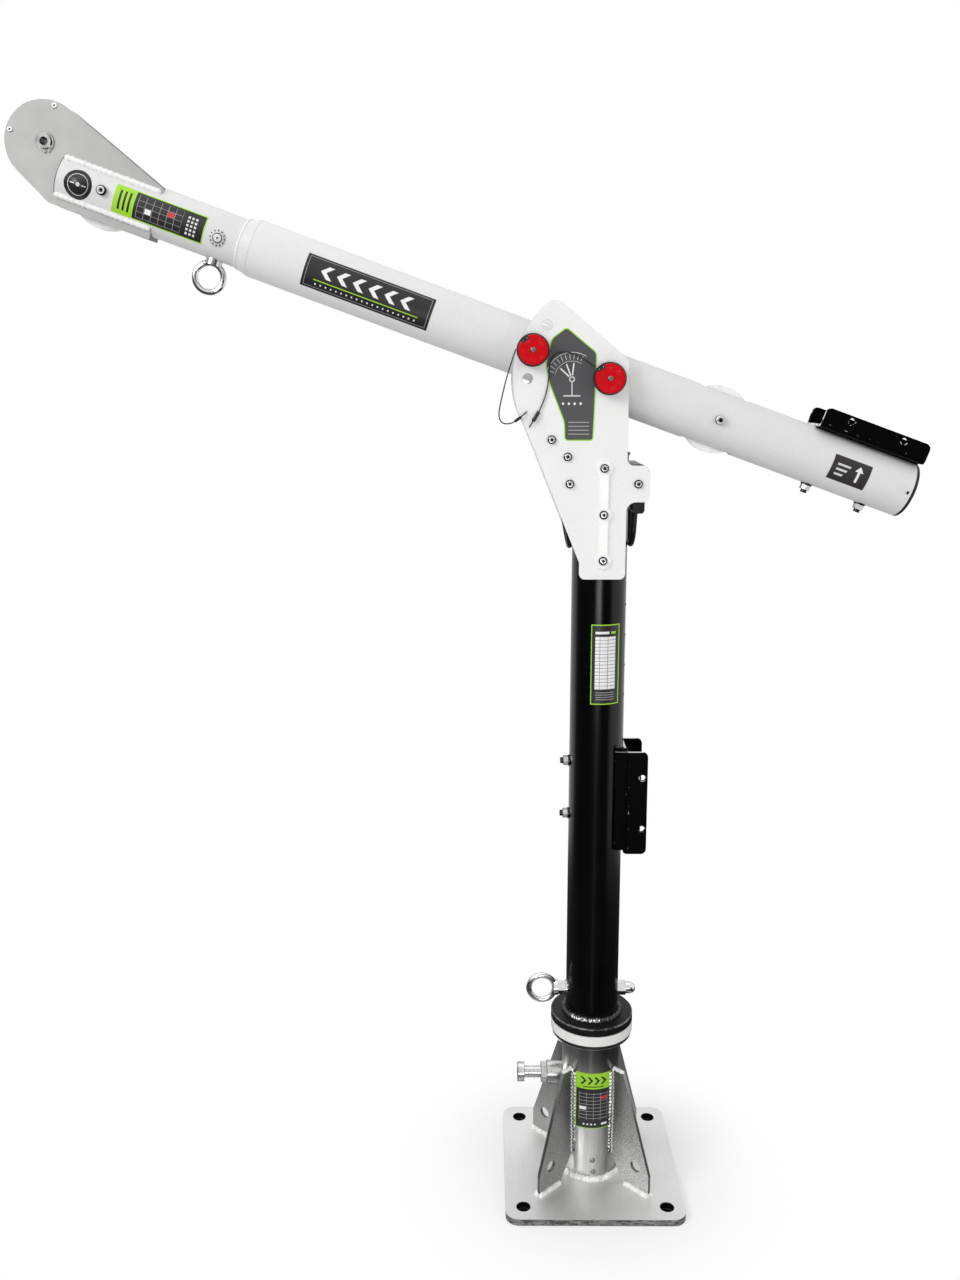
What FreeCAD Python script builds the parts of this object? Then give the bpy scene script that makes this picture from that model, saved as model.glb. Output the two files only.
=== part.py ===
import FreeCAD, Part
import math
import os

# Davit arm: a gusseted floor sleeve, a mast that swivels in it and a boom that tilts at the mast's head.
# Millimetres. +Z is up, the origin is the middle of the base plate's underside, the boom's tip is towards -X.

# Clearances
run_gap = 0.05          # radial, a shaft turning or sliding in its hole
bolt_gap = 0.2          # radial, a fixed bolt or pin in its hole
thrust_gap = 0.2        # along the axis, between faces that turn on each other
pass_gap = 5.0          # between a moving piece and what it passes

# Base plate, sleeve and gussets
plate_side = 300.0
plate_thick = 12.0
plate_corner_r = 22.0
anchor_pitch = 240.0
anchor_hole_d = 24.0
sleeve_od = 100.0
sleeve_wall = 4.0
sleeve_height = 260.0
lip_od = 136.0
lip_thick = 8.0
lip_bevel = 1.0
gusset_thick = 6.0
gusset_reach = 132.0    # from the sleeve's axis to the foot's outer edge
gusset_foot = 36.0      # height of the foot's upright edge
gusset_drop = 60.0      # from the sleeve's top down to the gusset's
gusset_top_width = 24.0
gusset_cope_out = 30.0  # corner cut away where plate and sleeve are welded
gusset_cope_up = 43.0
gusset_hole_d = 20.0
gusset_hole_in = 28.0   # from the foot's outer edge
gusset_hole_up = 42.0

# Index plunger on the sleeve's left
plunger_height = 182.0
plunger_boss_d = 38.0
plunger_boss_length = 26.5
plunger_hex_flats = 30.0
plunger_hex_length = 10.5
plunger_stem_d = 19.0
plunger_stem_show = 29.0
plunger_knob_d = 32.0
plunger_knob_length = 12.0
plunger_knob_bevel = 1.0
plunger_tip_gap = 0.5

# Bearing ring, mast and mast flange
ring_od = 140.0
ring_thick = 17.0
bush_length = 60.0
mast_od = 88.9
mast_wall = 4.0
mast_foot_gap = 18.0
mast_top_drop = 119.0   # pivot down to the mast's top
cap_od = 92.0
cap_thick = 4.0
cap_plug = 14.0
flange_od = 140.0
flange_thick = 14.0
flange_bevel = 1.5

# Eye bolts on the mast and under the boom
eye_ring_od = 54.0
eye_bar_d = 9.5
eye_collar_d = 25.0
eye_collar_length = 8.0
eye_height = 28.0       # ring's middle from the seat
eye_shank_d = 12.0
mast_eye_rise = 38.0    # above the mast flange
mast_eye_stand = 14.0   # nut and washer between the mast and the collar
eye_nut_flats = 19.0
eye_washer_h = 2.0
dome_nut_flats = 21.0
dome_nut_length = 13.0
dome_d = 19.0
dome_length = 30.0

# Head plates
pivot_height = 1377.0
pivot_offset = 5.0      # behind the mast's axis
head_plate_thick = 6.0
head_arc_r = 148.0
head_arc_low = 30.0     # degrees below level where the arc ends
head_top_rise = 40.5    # top edge above the boom's axis at its steepest
head_left = 37.0        # narrow foot, left and right of the mast's axis
head_right = 35.5
head_drop = 312.0
head_slant_drop = 286.0
ear_reach = 71.0
ear_height = 57.0
ear_drop = 161.5        # pivot down to the ear's middle
ear_corner_r = 11.0
ear_notch_r = 15.0      # inside corner under the ear
head_corner_r = 9.0
apex_r = 20.0
strip_bolt_pitch = 72.5
strip_bolt_low = 282.0  # pivot down to the lowest
strip_boss_d = 25.0
strip_bar = 14.0
strip_thick = 3.0
head_bolt_d = 8.0
head_button_d = 13.5
head_button_h = 4.4
head_button_round = 3.0
head_socket_flats = 5.0
head_socket_depth = 2.4
spacer_d = 18.0
spacer_places = ((-82.0, 93.0), (-57.0, 119.5))
lanyard_hole_d = 5.0
lanyard_holes = ((-122.0, 51.0), (-116.5, 73.5))
packer_width = 52.0
packer_margin = 8.0     # beyond the lowest and highest bolt

# Tie-off blocks and loops beside the mast
block_in = 45.6
block_out = 64.5
left_block_out = 68.0
block_top = 30.0        # above the ear's bolt
block_low = 47.0
block_corner_r = 6.0
loop_bar_d = 9.0
loop_leg_y = 28.0
loop_leg_x = 52.5
left_leg_x = 59.5
loop_drop = 30.5
left_loop_drop = 34.0
loop_seat_gap = 0.3     # between the loop's lower end and the mast

# Boom, in its own line: u along it to the rear, v up, zero at the pivot
boom_angle = 20.0
boom_angle_low = 0.0
boom_angle_step = 20.0
boom_settings = 3
lock_r = 125.0
boom_od = 88.9
boom_wall = 4.0
boom_front = -582.0
boom_rear = 510.0
front_od = 76.2
front_wall = 4.0
front_start = -890.0
front_insert = 45.0     # inside the main tube
step_cone = 18.0
step_edge = 1.0
bush_wall = 5.0
lock_bush_stand = 1.5   # beyond the tube's side
pivot_pin_d = 20.0
lock_pin_d = 16.0
end_cap_thick = 4.0
end_cap_plug = 16.0
end_cap_round = 2.5

# Knobs on the two pins
pin_collar_d = 32.0
pin_collar_length = 2.5
pin_end = 9.0           # beyond the far plate
rim_d = 50.0
rim_length = 11.0
knob_d = 46.0
knob_length = 8.0
knob_round = 3.0

# Boom tip
tip_plate_thick = 5.0
tip_plate_outer = 26.0  # from the middle to a plate's outer face
tip_plate_rear = -735.0
tip_plate_rear_top = 34.5
tip_plate_low = -44.0
tip_plate_low_front = -894.0
head_axle_u = -924.0
head_axle_v = 39.0
tip_head_r = 61.0
keeper_r = 54.5
keeper_d = 6.0
keeper_head_d = 8.5
keeper_head_h = 1.2
keeper_head_bevel = 0.6
keeper_angles = (91.0, 181.0)
axle_d = 22.0
axle_bore_d = 12.0
axle_stand = 5.0
circlip_d = 29.0
circlip_thick = 1.6
circlip_lug_d = 5.0
circlip_lugs = (-46.0, -74.0)
tip_bolt_u = -818.0
sheave_bolt_d = 12.0
bolt_head_d = 15.0
bolt_head_h = 6.0
bolt_head_round = 2.0
bolt_socket_flats = 6.5
bolt_socket_depth = 3.5
head_bed = 2.0          # depth of a head or washer cut to the tube's curve

# Sheaves
head_sheave_r = 45.0
tip_sheave_r = 54.0
rear_sheave_r = 53.0
rear_sheave_u = 185.0
sheave_width = 18.0
sheave_web = 7.0
sheave_rim = 14.0       # depth of the rim under the groove's edge
sheave_hub_wall = 8.0
groove_r = 6.5
spacer_wall = 4.0

# Winch brackets
bracket_length = 175.0
bracket_width = 80.0
bracket_thick = 4.0
bracket_bend_r = 3.0    # inside the folds
bracket_corner_r = 9.0
bracket_hole_d = 10.0
bracket_hole_pitch = 88.0
bracket_hole_in = 8.5   # from the flange's edge
bracket_bolt_d = 10.0
bracket_bolt_pitch = 92.0
bracket_nut_flats = 14.5
bracket_nut_h = 8.0
bracket_washer_d = 18.5
bracket_washer_h = 2.0
bracket_thread = 5.0
mast_bracket_height = 689.0
mast_bracket_flange = 33.0
mast_bracket_lip = 16.0
mast_bracket_lip_rise = 6.0
mast_bracket_shift = 15.0
boom_bracket_u = 423.0
boom_bracket_flange = 28.0
boom_bracket_lip = 1.5
boom_bracket_lip_rise = 0.0
boom_bracket_shift = -16.0
boom_eye_ahead = 54.0   # from the main tube's front end

# Lanyards: thin wires from each knob's rim to the near plate, points from the pivot (x, z) and out (y)
wire_d = 2.0
lock_wire = ((-143.6, -66.0, 44.0), (-156.5, -64.0, 6.0), (-165.0, -62.0, -30.0), (-170.0, -60.0, -55.0),
             (-165.0, -59.0, -68.0), (-152.0, -58.6, -69.0), (-141.0, -59.0, -63.0), (-132.0, -59.2, -55.5),
             (-127.2, -58.2, -51.4), (-126.8, -53.5, -51.0))
pivot_wire = ((-21.5, -66.0, 15.0), (-38.0, -63.0, 29.0), (-56.0, -60.5, 38.0), (-71.0, -59.0, 41.0),
              (-85.0, -58.0, 36.0), (-92.0, -57.6, 23.0), (-92.5, -57.5, 3.0), (-95.0, -57.4, -17.0),
              (-102.0, -57.6, -39.0), (-109.0, -58.4, -53.0), (-117.0, -59.2, -66.0), (-121.3, -58.2, -72.8),
              (-121.6, -53.5, -73.4))

# Places worked out from the sizes above
mast_r = mast_od / 2
boom_r = boom_od / 2
front_r = front_od / 2
sleeve_r = sleeve_od / 2
plate_top = plate_thick
sleeve_top = plate_top + sleeve_height
gusset_top = sleeve_top - gusset_drop
ring_top = sleeve_top + ring_thick
mast_top = pivot_height - mast_top_drop
flange_low = ring_top + thrust_gap
flange_top = flange_low + flange_thick
mast_low = plate_top + mast_foot_gap
mast_eye_z = flange_top + mast_eye_rise
head_inner = boom_r + pass_gap
head_outer = head_inner + head_plate_thick
strip_outer = head_outer + strip_thick
ear_z = pivot_height - ear_drop
ear_x = (head_right + ear_reach) / 2
tip_inner = tip_plate_outer - tip_plate_thick
boom_eye_u = boom_front - boom_eye_ahead
steepest = boom_angle_low + boom_angle_step * (boom_settings - 1)
lock_angles = [boom_angle_low + boom_angle_step * i for i in range(boom_settings)]
strip_bolts = [pivot_height - strip_bolt_low + strip_bolt_pitch * i for i in range(3)]
spacer_bolts = [(x, pivot_height - drop) for x, drop in spacer_places]
block_bolts = ((-ear_x, ear_z), (ear_x, ear_z))

X = FreeCAD.Vector(1, 0, 0)
Y = FreeCAD.Vector(0, 1, 0)
Z = FreeCAD.Vector(0, 0, 1)


def vec(x, y, z):
    return FreeCAD.Vector(x, y, z)


def box(x0, x1, y0, y1, z0, z1):
    return Part.makeBox(x1 - x0, y1 - y0, z1 - z0, vec(x0, y0, z0))


def rod(radius, start, axis, length):
    return Part.makeCylinder(radius, length, start, axis)


def pipe(outer_r, inner_r, start, axis, length):
    return rod(outer_r, start, axis, length).cut(rod(inner_r, start, axis, length))


def rod_y(radius, x, z, y0, y1):
    return rod(radius, vec(x, y0, z), Y, y1 - y0)


def pipe_y(outer_r, inner_r, x, z, y0, y1):
    return pipe(outer_r, inner_r, vec(x, y0, z), Y, y1 - y0)


def hex_rod(flats, start, axis, length):
    corner_r = flats / math.sqrt(3)
    points = [vec(corner_r * math.cos(math.radians(a)), corner_r * math.sin(math.radians(a)), 0)
              for a in range(30, 391, 60)]
    solid = Part.Face(Part.makePolygon(points)).extrude(vec(0, 0, length))
    solid.Placement = FreeCAD.Placement(start, FreeCAD.Rotation(Z, axis))
    return solid


def slab_y(points, y0, y1):
    """A flat plate from an outline of (x, z) points, between two y places."""
    corners = [vec(x, y0, z) for x, z in points]
    return Part.Face(Part.makePolygon(corners + corners[:1])).extrude(vec(0, y1 - y0, 0))


def round_corners(plate, places, radius, along=Y):
    """Rounds a plate's corner edges that run along one axis through the given points."""
    chosen = []
    for edge in plate.Edges:
        start, end = (vertex.Point for vertex in (edge.Vertexes[0], edge.Vertexes[-1]))
        if (end - start).cross(along).Length > 0.01 or (end - start).Length < 0.01:
            continue
        for place in places:
            if (start - place).cross(along).Length < 0.05:
                chosen.append(edge)
                break
    return plate.makeFillet(radius, chosen)


def revolve_y(profile, x, z):
    """A turned piece: (radius, y) points turned about an axis along Y."""
    corners = [vec(r, y, 0) for r, y in profile]
    solid = Part.Face(Part.makePolygon(corners + corners[:1])).revolve(vec(0, 0, 0), Y, 360)
    solid.translate(vec(x, 0, z))
    return solid


def revolve_z(profile):
    corners = [vec(r, 0, z) for r, z in profile]
    return Part.Face(Part.makePolygon(corners + corners[:1])).revolve(vec(0, 0, 0), Z, 360)


def fuse(solids):
    return solids[0].multiFuse(solids[1:]).removeSplitter()


def group(solids):
    return Part.makeCompound(solids)


def on_boom(shape):
    """Places a shape made in the boom's own line at the pivot, at the boom's resting angle."""
    placed = shape.copy()
    placed.rotate(vec(0, 0, 0), Y, boom_angle)
    placed.translate(vec(pivot_offset, 0, pivot_height))
    return placed


def base_plate():
    half = plate_side / 2
    plate = box(-half, half, -half, half, 0, plate_thick)
    corners = [vec(sx * half, sy * half, 0) for sx in (-1, 1) for sy in (-1, 1)]
    plate = round_corners(plate, corners, plate_corner_r, Z)
    reach = anchor_pitch / 2
    for sx in (-1, 1):
        for sy in (-1, 1):
            plate = plate.cut(rod(anchor_hole_d / 2, vec(sx * reach, sy * reach, 0), Z, plate_thick))
    return plate


def sleeve_tube():
    tube = pipe(sleeve_r, sleeve_r - sleeve_wall, vec(0, 0, plate_top), Z, sleeve_height)
    hole = rod(plunger_stem_d / 2 + bolt_gap, vec(0, 0, plunger_height), -X, sleeve_od)
    return tube.cut(hole)


def sleeve_lip():
    outer = lip_od / 2
    low = sleeve_top - lip_thick
    return revolve_z([(sleeve_r, low), (outer - lip_bevel, low), (outer, low + lip_bevel),
                      (outer, sleeve_top), (sleeve_r, sleeve_top)])


def gusset(turn):
    outline = [(gusset_reach, plate_top), (gusset_reach, plate_top + gusset_foot),
               (sleeve_r + gusset_top_width, gusset_top), (sleeve_r, gusset_top),
               (sleeve_r, plate_top + gusset_cope_up),
               (sleeve_r + gusset_cope_out, plate_top)]
    half = gusset_thick / 2
    plate = slab_y(outline, -half, half)
    seat = rod(sleeve_r, vec(0, 0, 0), Z, sleeve_top)
    hole = rod_y(gusset_hole_d / 2, gusset_reach - gusset_hole_in, plate_top + gusset_hole_up, -half, half)
    plate = plate.cut(seat).cut(hole)
    plate.rotate(vec(0, 0, 0), Z, turn)
    return plate


def plunger_faces():
    boss_end = -(sleeve_r + plunger_boss_length)
    hex_end = boss_end - plunger_hex_length
    stem_end = hex_end - plunger_stem_show
    return boss_end, hex_end, stem_end


def plunger_body():
    boss_end, hex_end, stem_end = plunger_faces()
    middle = vec(0, 0, plunger_height)
    boss = rod(plunger_boss_d / 2, middle, -X, -boss_end)
    boss = boss.cut(rod(sleeve_r, vec(0, 0, plate_top), Z, sleeve_height))
    nut = hex_rod(plunger_hex_flats, vec(boss_end, 0, plunger_height), -X, plunger_hex_length)
    bore = rod(plunger_stem_d / 2 + run_gap, middle, -X, -stem_end)
    return fuse([boss, nut]).cut(bore)


def plunger():
    stem_end = plunger_faces()[2]
    tip = -(mast_r + plunger_tip_gap)
    stem = rod(plunger_stem_d / 2, vec(tip, 0, plunger_height), -X, tip - stem_end)
    knob = rod(plunger_knob_d / 2, vec(stem_end, 0, plunger_height), -X, plunger_knob_length)
    return fuse([stem, knob.makeChamfer(plunger_knob_bevel, knob.Edges[:1])])


def bearing_ring():
    outer = ring_od / 2
    bore = mast_r + run_gap
    seat = sleeve_r - sleeve_wall
    return revolve_z([(bore, sleeve_top - bush_length), (seat, sleeve_top - bush_length), (seat, sleeve_top),
                      (outer, sleeve_top), (outer, ring_top), (bore, ring_top)])


def mast_tube():
    tube = pipe(mast_r, mast_r - mast_wall, vec(0, 0, mast_low), Z, mast_top - mast_low)
    for z in strip_bolts:
        tube = tube.cut(rod_y(head_bolt_d / 2 + bolt_gap, 0, z, -mast_od, mast_od))
    for z in bracket_bolt_places(mast_bracket_height, mast_bracket_shift):
        tube = tube.cut(rod(bracket_bolt_d / 2 + bolt_gap, vec(-mast_od, 0, z), X, 2 * mast_od))
    return tube.cut(rod(eye_shank_d / 2 + bolt_gap, vec(-mast_od, 0, mast_eye_z), X, 2 * mast_od))


def mast_cap():
    plug_r = mast_r - mast_wall
    disc = rod(cap_od / 2, vec(0, 0, mast_top), Z, cap_thick)
    plug = rod(plug_r, vec(0, 0, mast_top - cap_plug), Z, cap_plug)
    cap = fuse([disc, plug])
    return cap.cut(rod_y(head_bolt_d / 2 + bolt_gap, 0, strip_bolts[-1], -mast_od, mast_od))


def mast_flange():
    outer = flange_od / 2
    inner = outer - flange_bevel
    return revolve_z([(mast_r, flange_low), (inner, flange_low), (outer, flange_low + flange_bevel),
                      (outer, flange_top - flange_bevel), (inner, flange_top), (mast_r, flange_top)])


def eye(shank_length, collar_stand, bed):
    """An eye bolt along +X, its ring in the XZ plane; zero is the face that its shank enters."""
    mid_r = (eye_ring_od - eye_bar_d) / 2
    ring = Part.makeTorus(mid_r, eye_bar_d / 2, vec(-(collar_stand + eye_height), 0, 0), Y)
    collar_start = vec(-(collar_stand + eye_collar_length), 0, 0)
    collar = rod(eye_collar_d / 2, collar_start, X, eye_collar_length + bed)
    shank = rod(eye_shank_d / 2, vec(-collar_stand, 0, 0), X, shank_length + collar_stand)
    return fuse([ring, collar, shank])


def mast_eye_bolt():
    """Eye on the left of the mast, its rod right through, a nut on the left, a domed nut on the right."""
    bolt = eye(mast_od + dome_nut_length, mast_eye_stand, 0)
    washer = rod(eye_collar_d / 2, vec(-eye_washer_h, 0, 0), X, 2 * eye_washer_h)
    nut = hex_rod(eye_nut_flats, vec(-mast_eye_stand, 0, 0), X, mast_eye_stand - eye_washer_h)
    far_nut = hex_rod(dome_nut_flats, vec(mast_od - eye_washer_h, 0, 0), X, dome_nut_length + eye_washer_h)
    dome_r = dome_d / 2
    dome = rod(dome_r, vec(mast_od, 0, 0), X, dome_length - dome_r)
    cap = Part.makeSphere(dome_r, vec(mast_od + dome_length - dome_r, 0, 0))
    bolt = fuse([bolt, washer, nut, far_nut, dome, cap])
    bolt.translate(vec(-mast_r, 0, mast_eye_z))
    hole = rod(eye_shank_d / 2, vec(-mast_od, 0, mast_eye_z), X, 2 * mast_od)
    inside = rod(mast_r, vec(0, 0, mast_low), Z, mast_top - mast_low).cut(hole)
    return bolt.cut(inside)


def head_plate(side):
    y0, y1 = sorted((side * head_inner, side * head_outer))
    low_angle = math.radians(head_arc_low)
    arc_x = pivot_offset - head_arc_r * math.cos(low_angle)
    arc_z = pivot_height - head_arc_r * math.sin(low_angle)
    foot_z = pivot_height - head_drop
    slant_z = pivot_height - head_slant_drop
    ear_low = ear_z - ear_height / 2
    ear_high = ear_z + ear_height / 2
    tilt = math.radians(steepest)

    def top_at(x):
        return pivot_height + (head_top_rise - (x - pivot_offset) * math.sin(tilt)) / math.cos(tilt)

    def at(x, z):
        return vec(x, 0, z)

    lower = [(-head_left, foot_z), (head_right, foot_z), (head_right, ear_low), (ear_reach, ear_low),
             (ear_reach, ear_high), (head_right, ear_high), (head_right, arc_z), (arc_x, arc_z),
             (-head_left, slant_z)]
    far_left = pivot_offset - 2 * head_arc_r
    upper = [(head_right, arc_z), (head_right, top_at(head_right)), (far_left, top_at(far_left)),
             (far_left, arc_z)]
    disc = rod_y(head_arc_r, pivot_offset, pivot_height, y0, y1)
    plate = fuse([slab_y(lower, y0, y1), slab_y(upper, y0, y1).common(disc)])
    plate = round_corners(plate, [at(ear_reach, ear_low), at(ear_reach, ear_high),
                                  at(head_right, ear_high)], ear_corner_r)
    plate = round_corners(plate, [at(head_right, ear_low)], ear_notch_r)
    plate = round_corners(plate, [at(-head_left, foot_z), at(head_right, foot_z),
                                  at(head_right, top_at(head_right))], head_corner_r)
    apex_turn = math.acos(head_top_rise / head_arc_r) - tilt
    apex = at(pivot_offset - head_arc_r * math.sin(apex_turn),
              pivot_height + head_arc_r * math.cos(apex_turn))
    plate = round_corners(plate, [apex], apex_r)
    holes = [(pivot_offset, pivot_height, pivot_pin_d / 2 + bolt_gap)]
    for angle in lock_angles:
        turn = math.radians(angle)
        holes.append((pivot_offset - lock_r * math.cos(turn), pivot_height + lock_r * math.sin(turn),
                      lock_pin_d / 2 + bolt_gap))
    for x, z in [(0, z) for z in strip_bolts] + spacer_bolts + list(block_bolts):
        holes.append((x, z, head_bolt_d / 2 + bolt_gap))
    if side < 0:
        for x, drop in lanyard_holes:
            holes.append((x, pivot_height - drop, lanyard_hole_d / 2))
    for x, z, radius in holes:
        plate = plate.cut(rod_y(radius, x, z, y0, y1))
    return plate


def head_packers():
    """Saddles that fill the space between the mast's round sides and the flat head plates."""
    half = packer_width / 2
    low = strip_bolts[0] - packer_margin
    high = strip_bolts[-1] + packer_margin
    edge_y = math.sqrt(mast_r ** 2 - half ** 2)
    solids = []
    for side in (-1, 1):
        y0, y1 = sorted((side * edge_y, side * head_inner))
        saddle = box(-half, half, y0, y1, low, high)
        saddle = saddle.cut(rod(mast_r, vec(0, 0, low), Z, high - low))
        for z in strip_bolts:
            saddle = saddle.cut(rod_y(head_bolt_d / 2 + bolt_gap, 0, z, y0, y1))
        solids.append(saddle)
    return group(solids)


def head_strips():
    """Dog-bone washers under the three mast bolts, outside each head plate."""
    solids = []
    for side in (-1, 1):
        y0, y1 = sorted((side * head_outer, side * strip_outer))
        pieces = [box(-strip_bar / 2, strip_bar / 2, y0, y1, strip_bolts[0], strip_bolts[-1])]
        pieces += [rod_y(strip_boss_d / 2, 0, z, y0, y1) for z in strip_bolts]
        strip = fuse(pieces)
        for z in strip_bolts:
            strip = strip.cut(rod_y(head_bolt_d / 2 + bolt_gap, 0, z, y0, y1))
        solids.append(strip)
    return group(solids)


def button_bolt(x, z, face):
    """A bolt along Y with a button head on each side, its heads seated at plus and minus face."""
    solids = [rod_y(head_bolt_d / 2, x, z, -face, face)]
    for side in (-1, 1):
        y0, y1 = sorted((side * face, side * (face + head_button_h)))
        button = rod_y(head_button_d / 2, x, z, y0, y1)
        outer = [edge for edge in button.Edges if edge.Closed and abs(edge.Vertexes[0].Y) > face + 0.1]
        solids.append(button.makeFillet(head_button_round, outer))
    bolt = fuse(solids)
    for side in (-1, 1):
        start = vec(x, side * (face + head_button_h - head_socket_depth), z)
        bolt = bolt.cut(hex_rod(head_socket_flats, start, vec(0, side, 0), head_button_h))
    return bolt


def head_bolts():
    solids = [button_bolt(0, z, strip_outer) for z in strip_bolts]
    solids += [button_bolt(x, z, head_outer) for x, z in spacer_bolts + list(block_bolts)]
    return group(solids)


def head_spacers():
    bore = head_bolt_d / 2 + bolt_gap
    return group([pipe_y(spacer_d / 2, bore, x, z, -head_inner, head_inner) for x, z in spacer_bolts])


def tie_off_loop(side):
    """A block between the head plates with a round-bar loop under it that leans in to the mast."""
    low, high = ear_z - block_low, ear_z + block_top
    out, leg_x, drop = block_out, loop_leg_x, loop_drop
    if side < 0:
        out, leg_x, drop = left_block_out, left_leg_x, left_loop_drop
    block = box(block_in, out, -head_inner, head_inner, low, high)
    corners = [vec(x, 0, z) for x in (block_in, out) for z in (low, high)]
    block = round_corners(block, corners, block_corner_r)
    block = block.cut(rod_y(head_bolt_d / 2 + bolt_gap, ear_x, ear_z, -head_inner, head_inner))
    bar = loop_bar_d / 2
    root = low + bar
    legs = [rod(bar, vec(leg_x, y, root), -Z, drop) for y in (-loop_leg_y, loop_leg_y)]
    bend_z = root - drop
    bend = Part.makeTorus(loop_leg_y, bar, vec(leg_x, 0, bend_z), X)
    reach = loop_leg_y + loop_bar_d
    lower = box(leg_x - reach, leg_x + reach, -reach, reach, bend_z - reach, bend_z)
    loop = fuse(legs + [bend.common(lower)])
    lean = math.asin((leg_x - bar - mast_r - loop_seat_gap) / (drop + loop_leg_y))
    loop.rotate(vec(leg_x, 0, root), Y, math.degrees(lean))
    solid = fuse([block, loop])
    if side < 0:
        solid = solid.mirror(vec(0, 0, 0), X)
    return solid


def knob_faces():
    collar = head_outer + pin_collar_length
    rim = collar + rim_length
    return collar, rim, rim + knob_length


def pin_places():
    turn = math.radians(boom_angle)
    lock = (pivot_offset - lock_r * math.cos(turn), pivot_height + lock_r * math.sin(turn))
    return (pivot_offset, pivot_height), lock


def pivot_pin():
    (x, z), lock = pin_places()
    collar = rod_y(pin_collar_d / 2, x, z, -knob_faces()[0], -head_outer)
    return fuse([rod_y(pivot_pin_d / 2, x, z, -knob_faces()[0], head_outer + pin_end), collar])


def lock_pin():
    """The lock pin's near end and far end, each in its head plate."""
    pivot, (x, z) = pin_places()
    radius = lock_pin_d / 2
    near = fuse([rod_y(radius, x, z, -knob_faces()[0], -head_inner),
                 rod_y(pin_collar_d / 2, x, z, -knob_faces()[0], -head_outer)])
    return group([near, rod_y(radius, x, z, head_inner, head_outer + pin_end)])


def knob_rims():
    collar, rim, top = knob_faces()
    return group([rod_y(rim_d / 2, x, z, -rim, -collar) for x, z in pin_places()])


def knob(place):
    collar, rim, top = knob_faces()
    cap = rod_y(knob_d / 2, place[0], place[1], -top, -rim)
    outer = [edge for edge in cap.Edges if edge.Closed and abs(edge.Vertexes[0].Y + top) < 0.01]
    return cap.makeFillet(knob_round, outer)


def wire(points):
    """A wire's tube: straight runs joined by arcs as large as the runs allow."""
    route = [vec(x + pivot_offset, y, z + pivot_height) for x, y, z in points]
    edges = []
    start = route[0]
    for before, here, after in zip(route, route[1:], route[2:]):
        back, ahead = before - here, after - here
        turn = math.pi - back.getAngle(ahead)
        tangent = 0.45 * min(back.Length, ahead.Length)
        radius = tangent / math.tan(turn / 2)
        back.normalize()
        ahead.normalize()
        first, last = here + back * tangent, here + ahead * tangent
        inward = back + ahead
        inward.normalize()
        middle = here + inward * (radius / math.cos(turn / 2) - radius)
        edges += [Part.LineSegment(start, first).toShape(), Part.Arc(first, middle, last).toShape()]
        print("wire bend radius", round(radius, 1))
        start = last
    edges.append(Part.LineSegment(start, route[-1]).toShape())
    path = Part.Wire(edges)
    heading = route[1] - route[0]
    ring = Part.Wire(Part.makeCircle(wire_d / 2, route[0], heading))
    tube = path.makePipeShell([ring], True, False)
    print("wire length", round(path.Length, 1), "volume", round(tube.Volume, 1),
          "of", round(math.pi * wire_d ** 2 / 4 * path.Length, 1))
    return tube


def bush_places():
    return ((0.0, pivot_pin_d / 2 + run_gap), (-lock_r, lock_pin_d / 2 + bolt_gap))


def sheave_slot_half():
    return math.sqrt((rear_sheave_r + pass_gap) ** 2 - (boom_r - boom_wall) ** 2)


def boom_tube():
    tube = pipe(boom_r, boom_r - boom_wall, vec(boom_front, 0, 0), X, boom_rear - boom_front)
    for u, bore in bush_places():
        tube = tube.cut(rod_y(bore + bush_wall, u, 0, -boom_od, boom_od))
    half = sheave_slot_half()
    side = sheave_width / 2 + pass_gap
    tube = tube.cut(box(rear_sheave_u - half, rear_sheave_u + half, -side, side, -boom_od, boom_od))
    tube = tube.cut(rod_y(sheave_bolt_d / 2 + bolt_gap, rear_sheave_u, 0, -boom_od, boom_od))
    for u in bracket_bolt_places(boom_bracket_u, boom_bracket_shift):
        tube = tube.cut(rod(bracket_bolt_d / 2 + bolt_gap, vec(u, 0, -boom_od), Z, 2 * boom_od))
    return on_boom(tube)


def boom_front_tube():
    """The slimmer front tube: its crowns are cut away ahead of the tip plates' rear ends."""
    end = boom_front + front_insert
    tube = pipe(front_r, front_r - front_wall, vec(front_start, 0, 0), X, end - front_start)
    tube = tube.cut(box(front_start, tip_plate_rear, -tip_plate_outer, tip_plate_outer, -front_od, front_od))
    tube = tube.cut(rod_y(sheave_bolt_d / 2 + bolt_gap, tip_bolt_u, 0, -front_od, front_od))
    return on_boom(tube.cut(rod(eye_shank_d / 2 + bolt_gap, vec(boom_eye_u, 0, 0), -Z, front_od)))


def boom_step_collar():
    inner = boom_r - boom_wall
    front = boom_front - step_cone
    profile = [(front_r, front), (front_r + step_edge, front), (boom_r, boom_front), (inner, boom_front),
               (inner, boom_front + front_insert), (front_r, boom_front + front_insert)]
    corners = [vec(u, 0, r) for r, u in profile]
    return on_boom(Part.Face(Part.makePolygon(corners + corners[:1])).revolve(vec(0, 0, 0), X, 360))


def boom_bushes():
    ends = (head_inner - thrust_gap, boom_r + lock_bush_stand)
    solids = []
    for (u, bore), end in zip(bush_places(), ends):
        solids.append(pipe_y(bore + bush_wall, bore, u, 0, -end, end))
    return on_boom(group(solids))


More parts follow.
